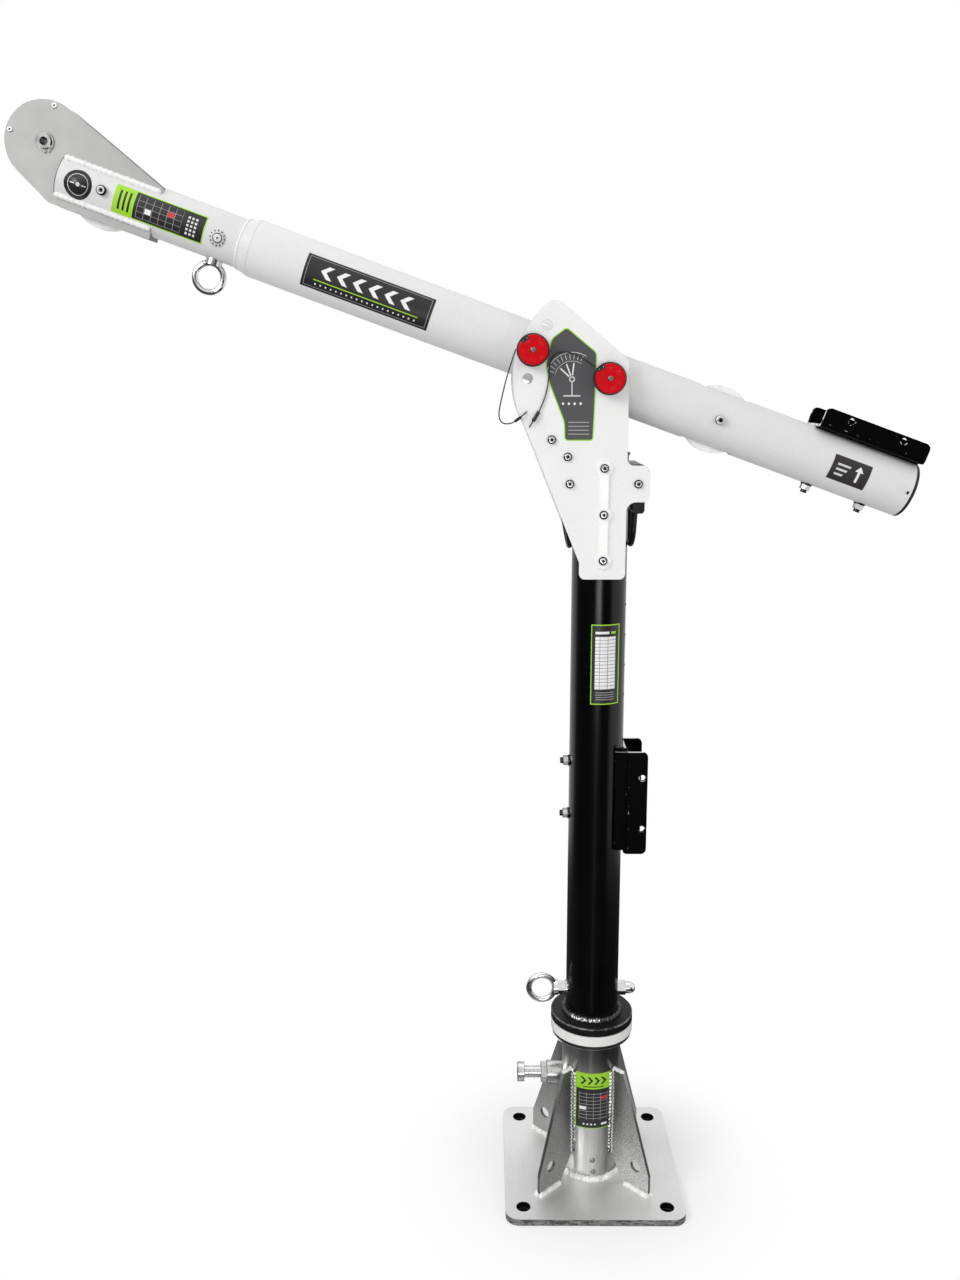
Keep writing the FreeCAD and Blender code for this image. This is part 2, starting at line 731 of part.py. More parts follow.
def tip_plate(side):
    """A side plate of the tip: a round head on the axle, tapering back to the tube."""
    y0, y1 = sorted((side * tip_inner, side * tip_plate_outer))
    centre = (head_axle_u, head_axle_v)
    upper = tangent_point(centre, (tip_plate_rear, tip_plate_rear_top), 1)
    lower = tangent_point(centre, (tip_plate_low_front, tip_plate_low), -1)
    outline = [upper, (tip_plate_rear, tip_plate_rear_top), (tip_plate_rear, tip_plate_low),
               (tip_plate_low_front, tip_plate_low), lower, centre]
    plate = fuse([slab_y(outline, y0, y1), rod_y(tip_head_r, centre[0], centre[1], y0, y1)])
    plate = plate.cut(rod_y(axle_d / 2 + bolt_gap, centre[0], centre[1], y0, y1))
    plate = plate.cut(rod_y(sheave_bolt_d / 2 + bolt_gap, tip_bolt_u, 0, y0, y1))
    for u, v in keeper_places():
        plate = plate.cut(rod_y(keeper_d / 2, u, v, y0, y1))
    return on_boom(plate)


def tangent_point(centre, point, side):
    """Where a line from a point touches the tip's round head, above it (1) or below it (-1)."""
    du, dv = point[0] - centre[0], point[1] - centre[1]
    spread = math.acos(tip_head_r / math.hypot(du, dv))
    turn = math.atan2(dv, du) + side * spread
    return centre[0] + tip_head_r * math.cos(turn), centre[1] + tip_head_r * math.sin(turn)


def keeper_places():
    turns = [math.radians(angle) for angle in keeper_angles]
    return [(head_axle_u + keeper_r * math.cos(t), head_axle_v + keeper_r * math.sin(t)) for t in turns]


def tip_axle():
    """A hollow axle between the tip plates, held by a circlip with two lugs outside each."""
    end = tip_plate_outer + axle_stand
    axle = pipe_y(axle_d / 2, axle_bore_d / 2, head_axle_u, head_axle_v, -end, end)
    rings = []
    for side in (-1, 1):
        y0, y1 = sorted((side * tip_plate_outer, side * (tip_plate_outer + circlip_thick)))
        rings.append(pipe_y(circlip_d / 2, axle_bore_d / 2, head_axle_u, head_axle_v, y0, y1))
        for angle in circlip_lugs:
            lug_u = head_axle_u + circlip_d / 2 * math.cos(math.radians(angle))
            lug_v = head_axle_v + circlip_d / 2 * math.sin(math.radians(angle))
            rings.append(rod_y(circlip_lug_d / 2, lug_u, lug_v, y0, y1))
    return on_boom(fuse([axle] + rings))


def tip_keepers():
    """Rope keepers across the tip plates, with a flat round head outside each plate."""
    seat, end = tip_plate_outer, tip_plate_outer + keeper_head_h
    edge = keeper_head_d / 2
    near = [(0, -end), (edge - keeper_head_bevel, -end), (edge, keeper_head_bevel - end), (edge, -seat),
            (keeper_d / 2, -seat)]
    far = [(radius, -y) for radius, y in reversed(near)]
    return on_boom(group([revolve_y(near + far, u, v) for u, v in keeper_places()]))


def side_bolt(u, wall_r):
    """A sheave's bolt across a tube, with a socket head bedded on each side of the tube."""
    end = wall_r + bolt_head_h
    wall = rod(wall_r, vec(u - bolt_head_d, 0, 0), X, 2 * bolt_head_d)
    pieces = [rod_y(sheave_bolt_d / 2, u, 0, -wall_r, wall_r)]
    for side in (-1, 1):
        y0, y1 = sorted((side * (wall_r - head_bed), side * end))
        head = rod_y(bolt_head_d / 2, u, 0, y0, y1)
        outer = [edge for edge in head.Edges if edge.Closed and abs(edge.Vertexes[0].Y) > wall_r]
        head = head.makeFillet(bolt_head_round, outer).cut(wall)
        start = vec(u, side * (end - bolt_socket_depth), 0)
        pieces.append(head.cut(hex_rod(bolt_socket_flats, start, vec(0, side, 0), bolt_head_h)))
    return fuse(pieces)


def tip_sheave_bolt():
    spacers = []
    for side in (-1, 1):
        y0, y1 = sorted((side * (sheave_width / 2 + thrust_gap), side * tip_inner))
        spacers.append(pipe_y(sheave_bolt_d / 2 + spacer_wall, sheave_bolt_d / 2, tip_bolt_u, 0, y0, y1))
    return on_boom(fuse([side_bolt(tip_bolt_u, front_r)] + spacers))


def rear_axle():
    spacers = []
    inner = boom_r - boom_wall
    bore = rod(inner, vec(boom_front, 0, 0), X, boom_rear - boom_front)
    for side in (-1, 1):
        y0, y1 = sorted((side * (sheave_width / 2 + thrust_gap), side * inner))
        spacer = pipe_y(sheave_bolt_d / 2 + spacer_wall, sheave_bolt_d / 2, rear_sheave_u, 0, y0, y1)
        spacers.append(spacer.common(bore))
    return on_boom(fuse([side_bolt(rear_sheave_u, boom_r)] + spacers))


def sheave(outer_r, shaft_r, hub_half, u, v):
    """A grooved rope sheave with a hub, a thin web and a rim."""
    bore = shaft_r + run_gap
    hub = bore + sheave_hub_wall
    rim = outer_r - sheave_rim
    half, web = sheave_width / 2, sheave_web / 2
    near = [(bore, -hub_half), (hub, -hub_half), (hub, -web), (rim, -web), (rim, -half), (outer_r, -half)]
    far = [(radius, -y) for radius, y in reversed(near)]
    wheel = revolve_y(near + far, u, v)
    groove = Part.makeTorus(outer_r, groove_r, vec(u, 0, v), Y)
    return on_boom(wheel.cut(groove))


def bracket_bolt_places(middle, shift):
    return [middle + shift + side * bracket_bolt_pitch / 2 for side in (-1, 1)]


def winch_bracket(tube_r, flange, lip, lip_rise, shift):
    """A channel lying along X on a tube: a web with its bends, two flanges on them and two lips that straddle
    the tube, each a solid of its own."""
    half_l, half_w = bracket_length / 2, bracket_width / 2
    inner_w = half_w - bracket_thick
    floor = tube_r + bracket_thick
    top = floor + flange
    outer = box(-half_l, half_l, -half_w, half_w, tube_r, top)
    folds = [vec(0, side * half_w, tube_r) for side in (-1, 1)]
    outer = round_corners(outer, folds, bracket_bend_r + bracket_thick, X)
    inner = box(-half_l, half_l, -inner_w, inner_w, floor, top)
    folds = [vec(0, side * inner_w, floor) for side in (-1, 1)]
    channel = outer.cut(round_corners(inner, folds, bracket_bend_r, X))
    channel = round_corners(channel, [vec(-half_l, 0, top), vec(half_l, 0, top)], bracket_corner_r)
    for place in (-1, 1):
        hole_x = place * bracket_hole_pitch / 2
        channel = channel.cut(rod_y(bracket_hole_d / 2, hole_x, top - bracket_hole_in, -half_w, half_w))
    for x in bracket_bolt_places(0, shift):
        channel = channel.cut(rod(bracket_bolt_d / 2 + bolt_gap, vec(x, 0, tube_r), Z, bracket_thick))
    lips = []
    lip_at = math.sqrt(tube_r ** 2 - (tube_r - lip) ** 2)
    for side in (-1, 1):
        y0, y1 = sorted((side * lip_at, side * (lip_at + bracket_thick)))
        lips.append(box(lip_rise - half_l, lip_rise + half_l, y0, y1, tube_r - lip, floor).cut(outer))
    bend_top = floor + bracket_bend_r
    web = channel.common(box(-half_l, half_l, -half_w, half_w, tube_r, bend_top))
    near = channel.common(box(-half_l, half_l, -half_w, 0, bend_top, top))
    far = channel.common(box(-half_l, half_l, 0, half_w, bend_top, top))
    return group([web, near, far] + lips)


def bracket_bolts(tube_r, shift):
    """The bracket's two bolts: heads in the channel, shanks across the tube, washers and nuts outside."""
    solids = []
    head_z = tube_r + bracket_thick
    inside = rod(tube_r, vec(-bracket_length, 0, 0), X, 2 * bracket_length)
    for x in bracket_bolt_places(0, shift):
        nut_z = -tube_r - bracket_washer_h
        end_z = nut_z - bracket_nut_h - bracket_thread
        shank = rod(bracket_bolt_d / 2, vec(x, 0, end_z), Z, head_z - end_z)
        head = rod(bracket_nut_flats / 2, vec(x, 0, head_z), Z, bracket_nut_h)
        washer = rod(bracket_washer_d / 2, vec(x, 0, nut_z), Z, bracket_washer_h + head_bed).cut(inside)
        nut = hex_rod(bracket_nut_flats, vec(x, 0, nut_z), -Z, bracket_nut_h)
        solids.append(fuse([shank, head, washer, nut]))
    return group(solids)


def on_mast(shape):
    """Stands a piece made along X upright on the right of the mast."""
    placed = shape.copy()
    placed.rotate(vec(0, 0, 0), vec(1, 0, 1), 180)
    placed.translate(vec(0, 0, mast_bracket_height))
    return placed


def along_boom(shape):
    placed = shape.copy()
    placed.translate(vec(boom_bracket_u, 0, 0))
    return on_boom(placed)


def boom_eye_bolt():
    bolt = eye(front_wall * 2, 0, head_bed)
    bolt.rotate(vec(0, 0, 0), Y, -90)
    bolt.translate(vec(boom_eye_u, 0, -front_r))
    wall = pipe(front_r, front_r - front_wall, vec(boom_eye_u - eye_collar_d, 0, 0), X, 2 * eye_collar_d)
    hole = rod(eye_shank_d / 2 + bolt_gap, vec(boom_eye_u, 0, 0), -Z, front_od)
    return on_boom(bolt.cut(wall.cut(hole)))


def boom_end_cap():
    disc = rod(boom_r, vec(boom_rear, 0, 0), X, end_cap_thick)
    outer = [edge for edge in disc.Edges if edge.Closed and edge.Vertexes[0].X > boom_rear]
    disc = disc.makeFillet(end_cap_round, outer)
    plug = rod(boom_r - boom_wall, vec(boom_rear - end_cap_plug, 0, 0), X, end_cap_plug)
    return on_boom(fuse([disc, plug]))


pivot_place, lock_place = pin_places()
mast_bracket = winch_bracket(mast_r, mast_bracket_flange, mast_bracket_lip, mast_bracket_lip_rise,
                             mast_bracket_shift)
boom_bracket = winch_bracket(boom_r, boom_bracket_flange, boom_bracket_lip, boom_bracket_lip_rise,
                             boom_bracket_shift)
nodes = {
    "base_plate": base_plate(),
    "sleeve_tube": sleeve_tube(),
    "sleeve_lip": sleeve_lip(),
    "gusset_front_left": gusset(-135),
    "gusset_front_right": gusset(-45),
    "gusset_rear_left": gusset(135),
    "gusset_rear_right": gusset(45),
    "bearing_ring": bearing_ring(),
    "plunger_body": plunger_body(),
    "plunger": plunger(),
    "mast_tube": mast_tube(),
    "mast_cap": mast_cap(),
    "mast_flange": mast_flange(),
    "mast_eye_bolt": mast_eye_bolt(),
    "mast_winch_bracket": on_mast(mast_bracket),
    "mast_bracket_bolts": on_mast(bracket_bolts(mast_r, mast_bracket_shift)),
    "head_plate_near": head_plate(-1),
    "head_plate_far": head_plate(1),
    "head_packers": head_packers(),
    "head_strips": head_strips(),
    "head_bolts": head_bolts(),
    "head_spacers": head_spacers(),
    "tie_off_loop_left": tie_off_loop(-1),
    "tie_off_loop_right": tie_off_loop(1),
    "pivot_pin": pivot_pin(),
    "lock_pin": lock_pin(),
    "knob_rims": knob_rims(),
    "pivot_knob": knob(pivot_place),
    "lock_knob": knob(lock_place),
    "lock_lanyard": wire(lock_wire),
    "pivot_lanyard": wire(pivot_wire),
    "boom_tube": boom_tube(),
    "boom_front_tube": boom_front_tube(),
    "boom_step_collar": boom_step_collar(),
    "boom_bushes": boom_bushes(),
    "boom_end_cap": boom_end_cap(),
    "boom_eye_bolt": boom_eye_bolt(),
    "boom_winch_bracket": along_boom(boom_bracket),
    "boom_bracket_bolts": along_boom(bracket_bolts(boom_r, boom_bracket_shift)),
    "tip_plate_near": tip_plate(-1),
    "tip_plate_far": tip_plate(1),
    "tip_axle": tip_axle(),
    "tip_keepers": tip_keepers(),
    "tip_sheave_bolt": tip_sheave_bolt(),
    "rear_axle": rear_axle(),
    "head_sheave": sheave(head_sheave_r, axle_d / 2, tip_inner - thrust_gap, head_axle_u, head_axle_v),
    "tip_sheave": sheave(tip_sheave_r, sheave_bolt_d / 2, sheave_width / 2, tip_bolt_u, 0),
    "rear_sheave": sheave(rear_sheave_r, sheave_bolt_d / 2, sheave_width / 2, rear_sheave_u, 0),
}

os.makedirs("parts", exist_ok=True)
for name, shape in nodes.items():
    if not shape.isValid():
        print("not valid:", name)
    shape.exportStep("parts/" + name + ".step")
print(len(nodes), "nodes")
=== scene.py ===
import math
import random

import bmesh
import bpy
from mathutils import Matrix, Vector


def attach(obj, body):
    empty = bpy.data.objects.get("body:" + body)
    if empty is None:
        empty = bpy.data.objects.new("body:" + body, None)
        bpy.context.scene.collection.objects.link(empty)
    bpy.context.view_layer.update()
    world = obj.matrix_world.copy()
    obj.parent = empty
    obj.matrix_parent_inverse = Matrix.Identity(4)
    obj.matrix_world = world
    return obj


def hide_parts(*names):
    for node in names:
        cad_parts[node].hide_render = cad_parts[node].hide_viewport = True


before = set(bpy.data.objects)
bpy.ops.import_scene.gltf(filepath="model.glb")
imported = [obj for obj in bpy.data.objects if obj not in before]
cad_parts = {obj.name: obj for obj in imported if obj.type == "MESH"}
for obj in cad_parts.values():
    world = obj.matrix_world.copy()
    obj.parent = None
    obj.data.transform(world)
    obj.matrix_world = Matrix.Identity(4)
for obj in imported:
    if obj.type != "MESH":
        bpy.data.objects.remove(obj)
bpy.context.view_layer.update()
scene = bpy.context.scene
scene.view_settings.view_transform = "Standard"


# The studio: a white sweep under and behind the arm and up the wall to its right, which metal and gloss
# show too, in a dim room with a pale ceiling and a wide window behind the camera. Soft lamps stand in
# front, overhead and low behind the camera, which is at a standing person's shoulder height.
def operator(kind):
    """One of Blender's math operations, as a method of what it works on."""
    return lambda shade, *others: shade.math(kind, *others)


class Shade:
    """A socket on its way through the nodes, so that masks and tones read as plain expressions."""

    def __init__(self, tree, socket):
        self.tree = tree
        self.socket = socket

    def node(self, kind, settings=(), inputs=(), out=0):
        made = self.tree.nodes.new("ShaderNode" + kind)
        for name, value in dict(settings).items():
            setattr(made, name, value)
        for place, value in dict(inputs).items():
            if isinstance(value, Shade):
                self.tree.links.new(value.socket, made.inputs[place])
            else:
                made.inputs[place].default_value = value
        return Shade(self.tree, made.outputs[out])

    def math(self, operation, *values):
        return self.node("Math", {"operation": operation}, enumerate((self, *values)))

    __add__ = __radd__ = operator("ADD")
    __sub__ = operator("SUBTRACT")
    __mul__ = __rmul__ = operator("MULTIPLY")
    __truediv__ = operator("DIVIDE")
    __mod__ = operator("FLOORED_MODULO")
    __lt__ = operator("LESS_THAN")
    __gt__ = operator("GREATER_THAN")
    __or__ = operator("MAXIMUM")
    __abs__ = operator("ABSOLUTE")

    def __rsub__(self, other):
        return self.node("Math", {"operation": "SUBTRACT"}, {0: other, 1: self})

    def hypot(self, other):
        return (self * self + other * other).math("SQRT")

    def ramp(self, low, high, first=0.0, last=1.0):
        return self.node("MapRange", {"interpolation_type": "SMOOTHSTEP"},
                         {0: self, 1: low, 2: high, 3: first, 4: last})

    def within(self, low, high):
        return (self > low) * (self < high)

    def axes(self):
        split = self.node("SeparateXYZ", (), {0: self}).socket.node
        return [Shade(self.tree, socket) for socket in split.outputs]

    def stretched(self, *scale):
        return self.node("Mapping", (), {0: self, 3: scale})

    def seen_from(self, spot, turn=0.0):
        """Places counted from a spot, with X turned about Y by that many degrees."""
        return self.node("Mapping", {"vector_type": "TEXTURE"},
                         {0: self, 1: spot, 2: (0.0, math.radians(turn), 0.0)})

    def noise(self, scale, detail=2.0, roughness=0.5):
        return self.node("TexNoise", (), {0: self, 2: scale, 3: detail, 4: roughness})

    def blend(self, under, over):
        return self.node("Mix", {"data_type": "RGBA"}, {0: self, 6: under, 7: over}, 2)

    def into(self, shader, socket):
        self.tree.links.new(self.socket, shader.inputs[socket])


def grey(value, blue=None):
    """A grey, a little warm where less blue is given."""
    return (value, value, value if blue is None else blue, 1.0)


def surface(name, steady=()):
    """A new material, its shader with these steady values set, and the place on the piece to paint by."""
    material = bpy.data.materials.new(name)
    material.use_nodes = True
    tree = material.node_tree
    shader = tree.nodes["Principled BSDF"]
    for socket, value in dict(steady).items():
        shader.inputs[socket].default_value = value
    place = Shade(tree, tree.nodes.new("ShaderNodeTexCoord").outputs["Object"])
    return material, shader, place


def fresh(name, add, **sizes):
    """A new piece of that name, from one of Blender's own mesh operators."""
    bpy.ops.object.select_all(action="DESELECT")
    add(**sizes)
    piece = bpy.context.object
    piece.name = name
    return piece


def rays(shade):
    """Masks of what looks at the sweep: the camera's own rays, and those off metal or through glass."""
    path = shade.node("LightPath").socket.node
    camera, glossy, through = [Shade(shade.tree, path.outputs[name]) for name in
                               ("Is Camera Ray", "Is Glossy Ray", "Is Transmission Ray")]
    return camera, glossy | through


def white_side(across, depth):
    """The ways that look at the white sweep: behind the arm and to its right."""
    return depth.ramp(0.22, 0.42) | across.ramp(0.7, 0.85)


anchor_spot = 0.12


def build_studio():
    world = bpy.data.worlds.new("studio_sweep")
    scene.world = world
    world.use_nodes = True
    tree = world.node_tree
    sky = tree.nodes["Background"]
    sky.inputs["Color"].default_value = grey(1.0)
    way = Shade(tree, tree.nodes.new("ShaderNodeTexCoord").outputs["Generated"])
    camera, mirrored = rays(way)
    across, depth, up = way.axes()
    aside = across / (abs(depth) + 0.001)
    window = (depth < 0.0) * aside.ramp(-2.4, -1.8) * aside.ramp(0.3, 0.15) * up.ramp(0.02, 0.12)
    room = up.ramp(0.1, 0.55, 0.04, 0.85) | window * up.ramp(0.75, 0.55) * 0.75
    room = room | white_side(across, depth)
    lit = up.ramp(-0.2, 0.9, 0.4, 0.58)
    (camera + (1.0 - camera) * (mirrored * room + (1.0 - mirrored) * lit)).into(sky, "Strength")

    floor = fresh("studio_floor", bpy.ops.mesh.primitive_plane_add, size=14.0, location=(0.0, 0.0, -0.0004))
    paper, shader, place = surface("studio_paper", {"Roughness": 0.9, "Specular IOR Level": 0.0})
    floor.data.materials.append(paper)
    across, depth, up = place.axes()
    camera, mirrored = rays(place)
    away = across.hypot(depth)
    # The floor is painted near black under the base plate's anchor holes, as painted shadow.
    painted_hole_shadow = (abs(across) - anchor_spot).hypot(abs(depth) - anchor_spot) < 0.02
    bounce = (1.0 - camera) * (1.0 - mirrored) * 0.26
    (painted_hole_shadow | bounce).blend(grey(0.93), grey(0.01)).into(shader, "Base Color")
    streak = abs(across / (abs(depth) + 0.001) + 0.1).ramp(0.07, 0.03) * depth.ramp(-0.16, -0.22)
    near = depth.ramp(-0.48, -0.16) * away.ramp(0.24, 0.55, 0.52, 0.06) * (1.0 - painted_hole_shadow)
    near = near * across.ramp(0.1, 0.3, 1.0, 0.2)
    far = white_side(across / (away + 0.001), depth / (away + 0.001)) * away.ramp(1.25, 1.7)
    pale = near | far | streak * 0.45
    seen = (mirrored * (1.0 - pale)).blend(grey(1.0), grey(0.03))
    glow = place.node("Emission", (), {"Color": seen, "Strength": 1.0})
    fade = away.ramp(0.14, 0.36, 0.42, 1.0) * (1.0 - painted_hole_shadow)
    sweep = place.node("MixShader", (), {0: fade * camera | mirrored, 2: glow})
    tree = paper.node_tree
    tree.links.new(shader.outputs[0], sweep.socket.node.inputs[1])
    tree.links.new(sweep.socket, tree.nodes["Material Output"].inputs[0])

    aim = Vector((-0.1, 0.0, 1.0))
    lamps = (("key_lamp", (-2.6, -1.9, 3.0), 66.0, (1.6, 1.6), True),
             ("fill_lamp", (2.2, -1.9, 1.5), 15.0, (1.4, 1.4), False),
             ("low_lamp", (-0.3, -4.2, 0.36), 22.0, (1.5, 0.44), True),
             ("top_lamp", (-0.3, 0.5, 3.6), 18.0, (2.4, 2.4), True))
    for name, spot, watts, size, shows in lamps:
        lamp = bpy.data.lights.new(name, "AREA")
        lamp.energy = watts
        lamp.shape = "RECTANGLE"
        lamp.size, lamp.size_y = size
        stand = bpy.data.objects.new(name, lamp)
        scene.collection.objects.link(stand)
        stand.location = spot
        stand.visible_glossy = shows
        stand.rotation_euler = (aim - Vector(spot)).to_track_quat("-Z", "Y").to_euler()

    lens = bpy.data.cameras.new("camera")
    lens.lens = 32.34
    lens.shift_y = -0.0479
    eye = bpy.data.objects.new("camera", lens)
    scene.collection.objects.link(eye)
    eye.location = (-0.1836, -1.8428, 1.3673)
    eye.rotation_euler = (math.radians(90.0 - 9.56), 0.0, math.radians(0.3))
    scene.camera = eye


build_studio()


# The base plate is 12 mm stainless plate, laser cut with four anchor holes and ground with a belt,
# so its top shows fine straight grinding lines. Its cut edge keeps upright drag lines and is painted
# darker as painted shade, and the walls of its anchor holes are painted near black as painted shade.
def dress(material, *names):
    """Gives CAD nodes this material."""
    for name in names:
        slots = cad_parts[name].data.materials
        slots.clear()
        slots.append(material)


def paint(shader, colour, rough, relief=None, height=0.0, strength=1.0):
    """Links a colour, a roughness and, where there is one, a relief of that height into a shader."""
    colour.into(shader, "Base Color")
    rough.into(shader, "Roughness")
    if relief is not None:
        bump = relief.node("Bump", (), {"Strength": strength, "Distance": height, "Height": relief})
        bump.into(shader, "Normal")


bare_metal = {"Metallic": 1.0}
plate_thick = 0.012
arris = 0.0006
anchor_hole_r = 0.0124
plate_steel, shader, place = surface("ground_plate_steel", bare_metal)
lines = place.stretched(1600.0, 26.0, 60.0).noise(1.0, 4.0, 0.7)
clouds = place.noise(7.0, 3.0)
drag = place.stretched(110.0, 110.0, 420.0).noise(1.0, 4.0, 0.65)
x, y, z = place.axes()
cut = z.within(arris, plate_thick - arris)
# Painted shade: the walls of the anchor holes are near black, and the cut edge is darker than the top.
hole = (abs(x) - anchor_spot).hypot(abs(y) - anchor_spot) < anchor_hole_r
ground = (lines * 0.5 + clouds * 0.5).ramp(0.3, 0.7).blend(grey(0.64), grey(0.78, 0.775))
edge = drag.ramp(0.35, 0.65).blend(grey(0.1), grey(0.46, 0.45))
edge = hole.blend(edge, grey(0.02))
paint(shader, cut.blend(ground, edge), 0.46 + lines * 0.16 + cut * 0.08, lines + cut * drag, 0.00004, 0.5)
dress(plate_steel, "base_plate")


# The sleeve is a length of thick stainless tube stood on the plate and welded round its foot, with
# a turned lip that carries the bearing ring. It keeps faint draw lines. Its right side and its top
# under the lip are painted darker as painted shade.
sleeve_r = 0.05
sleeve_steel, shader, place = surface("drawn_sleeve_steel", bare_metal)
lines = place.stretched(700.0, 700.0, 9.0).noise(1.0, 4.0, 0.65)
clouds = place.stretched(18.0, 18.0, 7.0).noise(1.0, 3.0)
grain = place.noise(1500.0, 2.0)
x, _, z = place.axes()
tone = (lines * 0.5 + clouds * 0.3 + grain * 0.2).ramp(0.32, 0.68).blend(grey(0.6, 0.595), grey(0.94, 0.93))
# Painted shade: darker on the sleeve's right side.
tone = (x.ramp(-0.004, 0.028) * 0.62).blend(tone, grey(0.1))
# Painted shade: darker towards the top, under the lip.
tone = (z.ramp(0.185, 0.245) * 0.7).blend(tone, grey(0.1))
paint(shader, tone, 0.2 + clouds * 0.12 + grain * 0.06, lines + grain, 0.00003, 0.5)
dress(sleeve_steel, "sleeve_tube")

lip_highlight_band = (0.2638, 0.2654)
# The lip is painted near black as painted shade, with a thin painted highlight along its lower edge.
lip_steel, shader, place = surface("turned_lip_steel", bare_metal)
grain = place.noise(900.0, 3.0)
bright = place.axes()[2].within(*lip_highlight_band)
tone = grain.blend(grey(0.06), grey(0.2))
paint(shader, bright.blend(tone, grey(0.72, 0.71)), 0.3 + grain * 0.16)
dress(lip_steel, "sleeve_lip")


# Four gussets of 6 mm stainless plate brace the sleeve, each with a hole for a hook. They were cut
# by laser and blasted to a grained grey. Their cut edges are painted dark as painted shade, lighter
# at the top as a painted highlight, and their faces are painted darker near the sleeve and on the
# left-hand gussets, as painted shade.
gusset_turns = (-135.0, -45.0, 45.0, 135.0)
gusset_thick = 0.006
gusset_steel, shader, place = surface("blasted_gusset_steel", bare_metal)
grain = place.noise(460.0, 3.0, 0.75)
clouds = place.noise(14.0, 3.0)
x, y, z = place.axes()
cut = abs(abs(x) - abs(y)) < (gusset_thick / 2 - 0.0003) * math.sqrt(2.0)
# Painted shade: the left-hand gussets' faces are darker.
face = (grain * 0.85 + clouds * 0.15).ramp(0.32, 0.68) * x.ramp(-0.01, 0.01, 0.6, 1.0)
face = face.blend(grey(0.24, 0.235), grey(0.82, 0.81))
# Painted shade: darker near the sleeve.
painted_shade_near_sleeve = x.hypot(y).ramp(0.086, 0.054) * z.ramp(0.03, 0.15)
face = (painted_shade_near_sleeve * 0.72).blend(face, grey(0.07))
# Painted shade on the cut edge, with a painted highlight towards its top.
edge = (z.ramp(0.12, 0.2) * grain).blend(grey(0.15), grey(0.8, 0.79))
paint(shader, cut.blend(face, edge), 0.36 + grain * 0.18, grain, 0.00008, 0.6)
dress(gusset_steel, "gusset_front_left", "gusset_front_right", "gusset_rear_left", "gusset_rear_right")


# The base is joined by hand laid weld beads: a heavy ring round the sleeve's foot, fat short runs at
# each gusset's foot, and rippled seams up both sides of each gusset. Brushed clean, they stay bright;
# the valleys between the seams' ripples are painted dark as painted shade.
def alone(piece):
    """Makes the piece the only one selected."""
    bpy.ops.object.select_all(action="DESELECT")
    piece.select_set(True)
    bpy.context.view_layer.objects.active = piece


def round_curve(name, radius, facets):
    """A new curve with a round section, and its object."""
    curve = bpy.data.curves.new(name, "CURVE")
    curve.dimensions = "3D"
    curve.bevel_depth = radius
    curve.bevel_resolution = facets
    curve.use_fill_caps = True
    piece = bpy.data.objects.new(name, curve)
    scene.collection.objects.link(piece)
    return curve, piece


def weld(name, paths, width, ripple, closed=False, seed=1, relief=1.0):
    """Weld beads along the paths, each a function of a share from 0 to 1, laid in ripples of that length."""
    chance = random.Random(seed)
    curve, bead = round_curve(name, width / 2, 2)
    swell = [1.0 + relief * part for part in (-0.16, 0.0, 0.08, 0.02)]
    for path in paths:
        trace = [Vector(path(i / 60)) for i in range(61)]
        length = sum((b - a).length for a, b in zip(trace, trace[1:]))
        count = len(swell) * max(3, round(length / ripple))
        spline = curve.splines.new("POLY")
        spline.points.add(count - 1)
        spline.use_cyclic_u = closed
        for i, point in enumerate(spline.points):
            share = i / (count if closed else count - 1)
            jitter = Vector([chance.uniform(-1, 1) for _ in range(3)]) * width * 0.03
            point.co = (*(Vector(path(share)) + jitter), 1.0)
            end = 1.0 if closed else min(1.0, 0.62 + min(i, count - 1 - i) * 0.2)
            point.radius = swell[i % len(swell)] * end * chance.uniform(0.95, 1.05)
    alone(bead)
    bpy.ops.object.convert(target="MESH")
    bead = bpy.context.object
    bpy.ops.object.shade_smooth()
    return bead


def beside_gusset(turn, out, side, height):
    """A place by a gusset: out from the sleeve's axis, aside of its middle and up."""
    t = math.radians(turn)
    return (out * math.cos(t) - side * math.sin(t), out * math.sin(t) + side * math.cos(t), height)


def ring_path(radius, height):
    return lambda share: (radius * math.cos(share * math.tau), radius * math.sin(share * math.tau), height)


def run_path(turn, near, far, side, low, high):
    return lambda share: beside_gusset(turn, near + (far - near) * share, side, low + (high - low) * share)


gusset_top = 0.212
foot_near, foot_far = 0.083, 0.134
foot_side = gusset_thick / 2 + 0.0014
foot_up = plate_thick + 0.001
seam_side = gusset_thick / 2 + 0.0012
seam_low = 0.056
seam_ripple = 0.0065
seam_out = math.sqrt((sleeve_r + 0.001) ** 2 - seam_side ** 2)
top_far = 0.0735
lip_foot = 0.2632
sides = [(turn, side) for turn in gusset_turns for side in (-1, 1)]
foot_runs = [run_path(turn, foot_near, foot_far, side * foot_side, foot_up, foot_up) for turn, side in sides]
seam_runs = [run_path(turn, seam_out, seam_out, side * seam_side, seam_low, gusset_top)
             for turn, side in sides]
top_runs = [run_path(turn, sleeve_r + 0.001, top_far, 0.0, gusset_top + 0.0004, gusset_top + 0.0002)
            for turn in gusset_turns]
base_welds = [
    weld("sleeve_foot_weld", [ring_path(sleeve_r + 0.0036, plate_thick + 0.0008)], 0.0116, 0.0042, True, 3),
    weld("gusset_foot_welds", foot_runs, 0.0102, 0.0036, seed=5),
    weld("gusset_seam_welds", seam_runs, 0.01, seam_ripple, seed=7, relief=2.2),
    weld("gusset_top_welds", top_runs, 0.0068, 0.0034, seed=11),
    weld("sleeve_lip_weld", [ring_path(sleeve_r + 0.0008, lip_foot)], 0.0042, 0.0034, True, 13),
]
bright_weld, shader, place = surface("brushed_weld", {"Metallic": 0.2})
crust = place.noise(520.0, 3.0, 0.6)
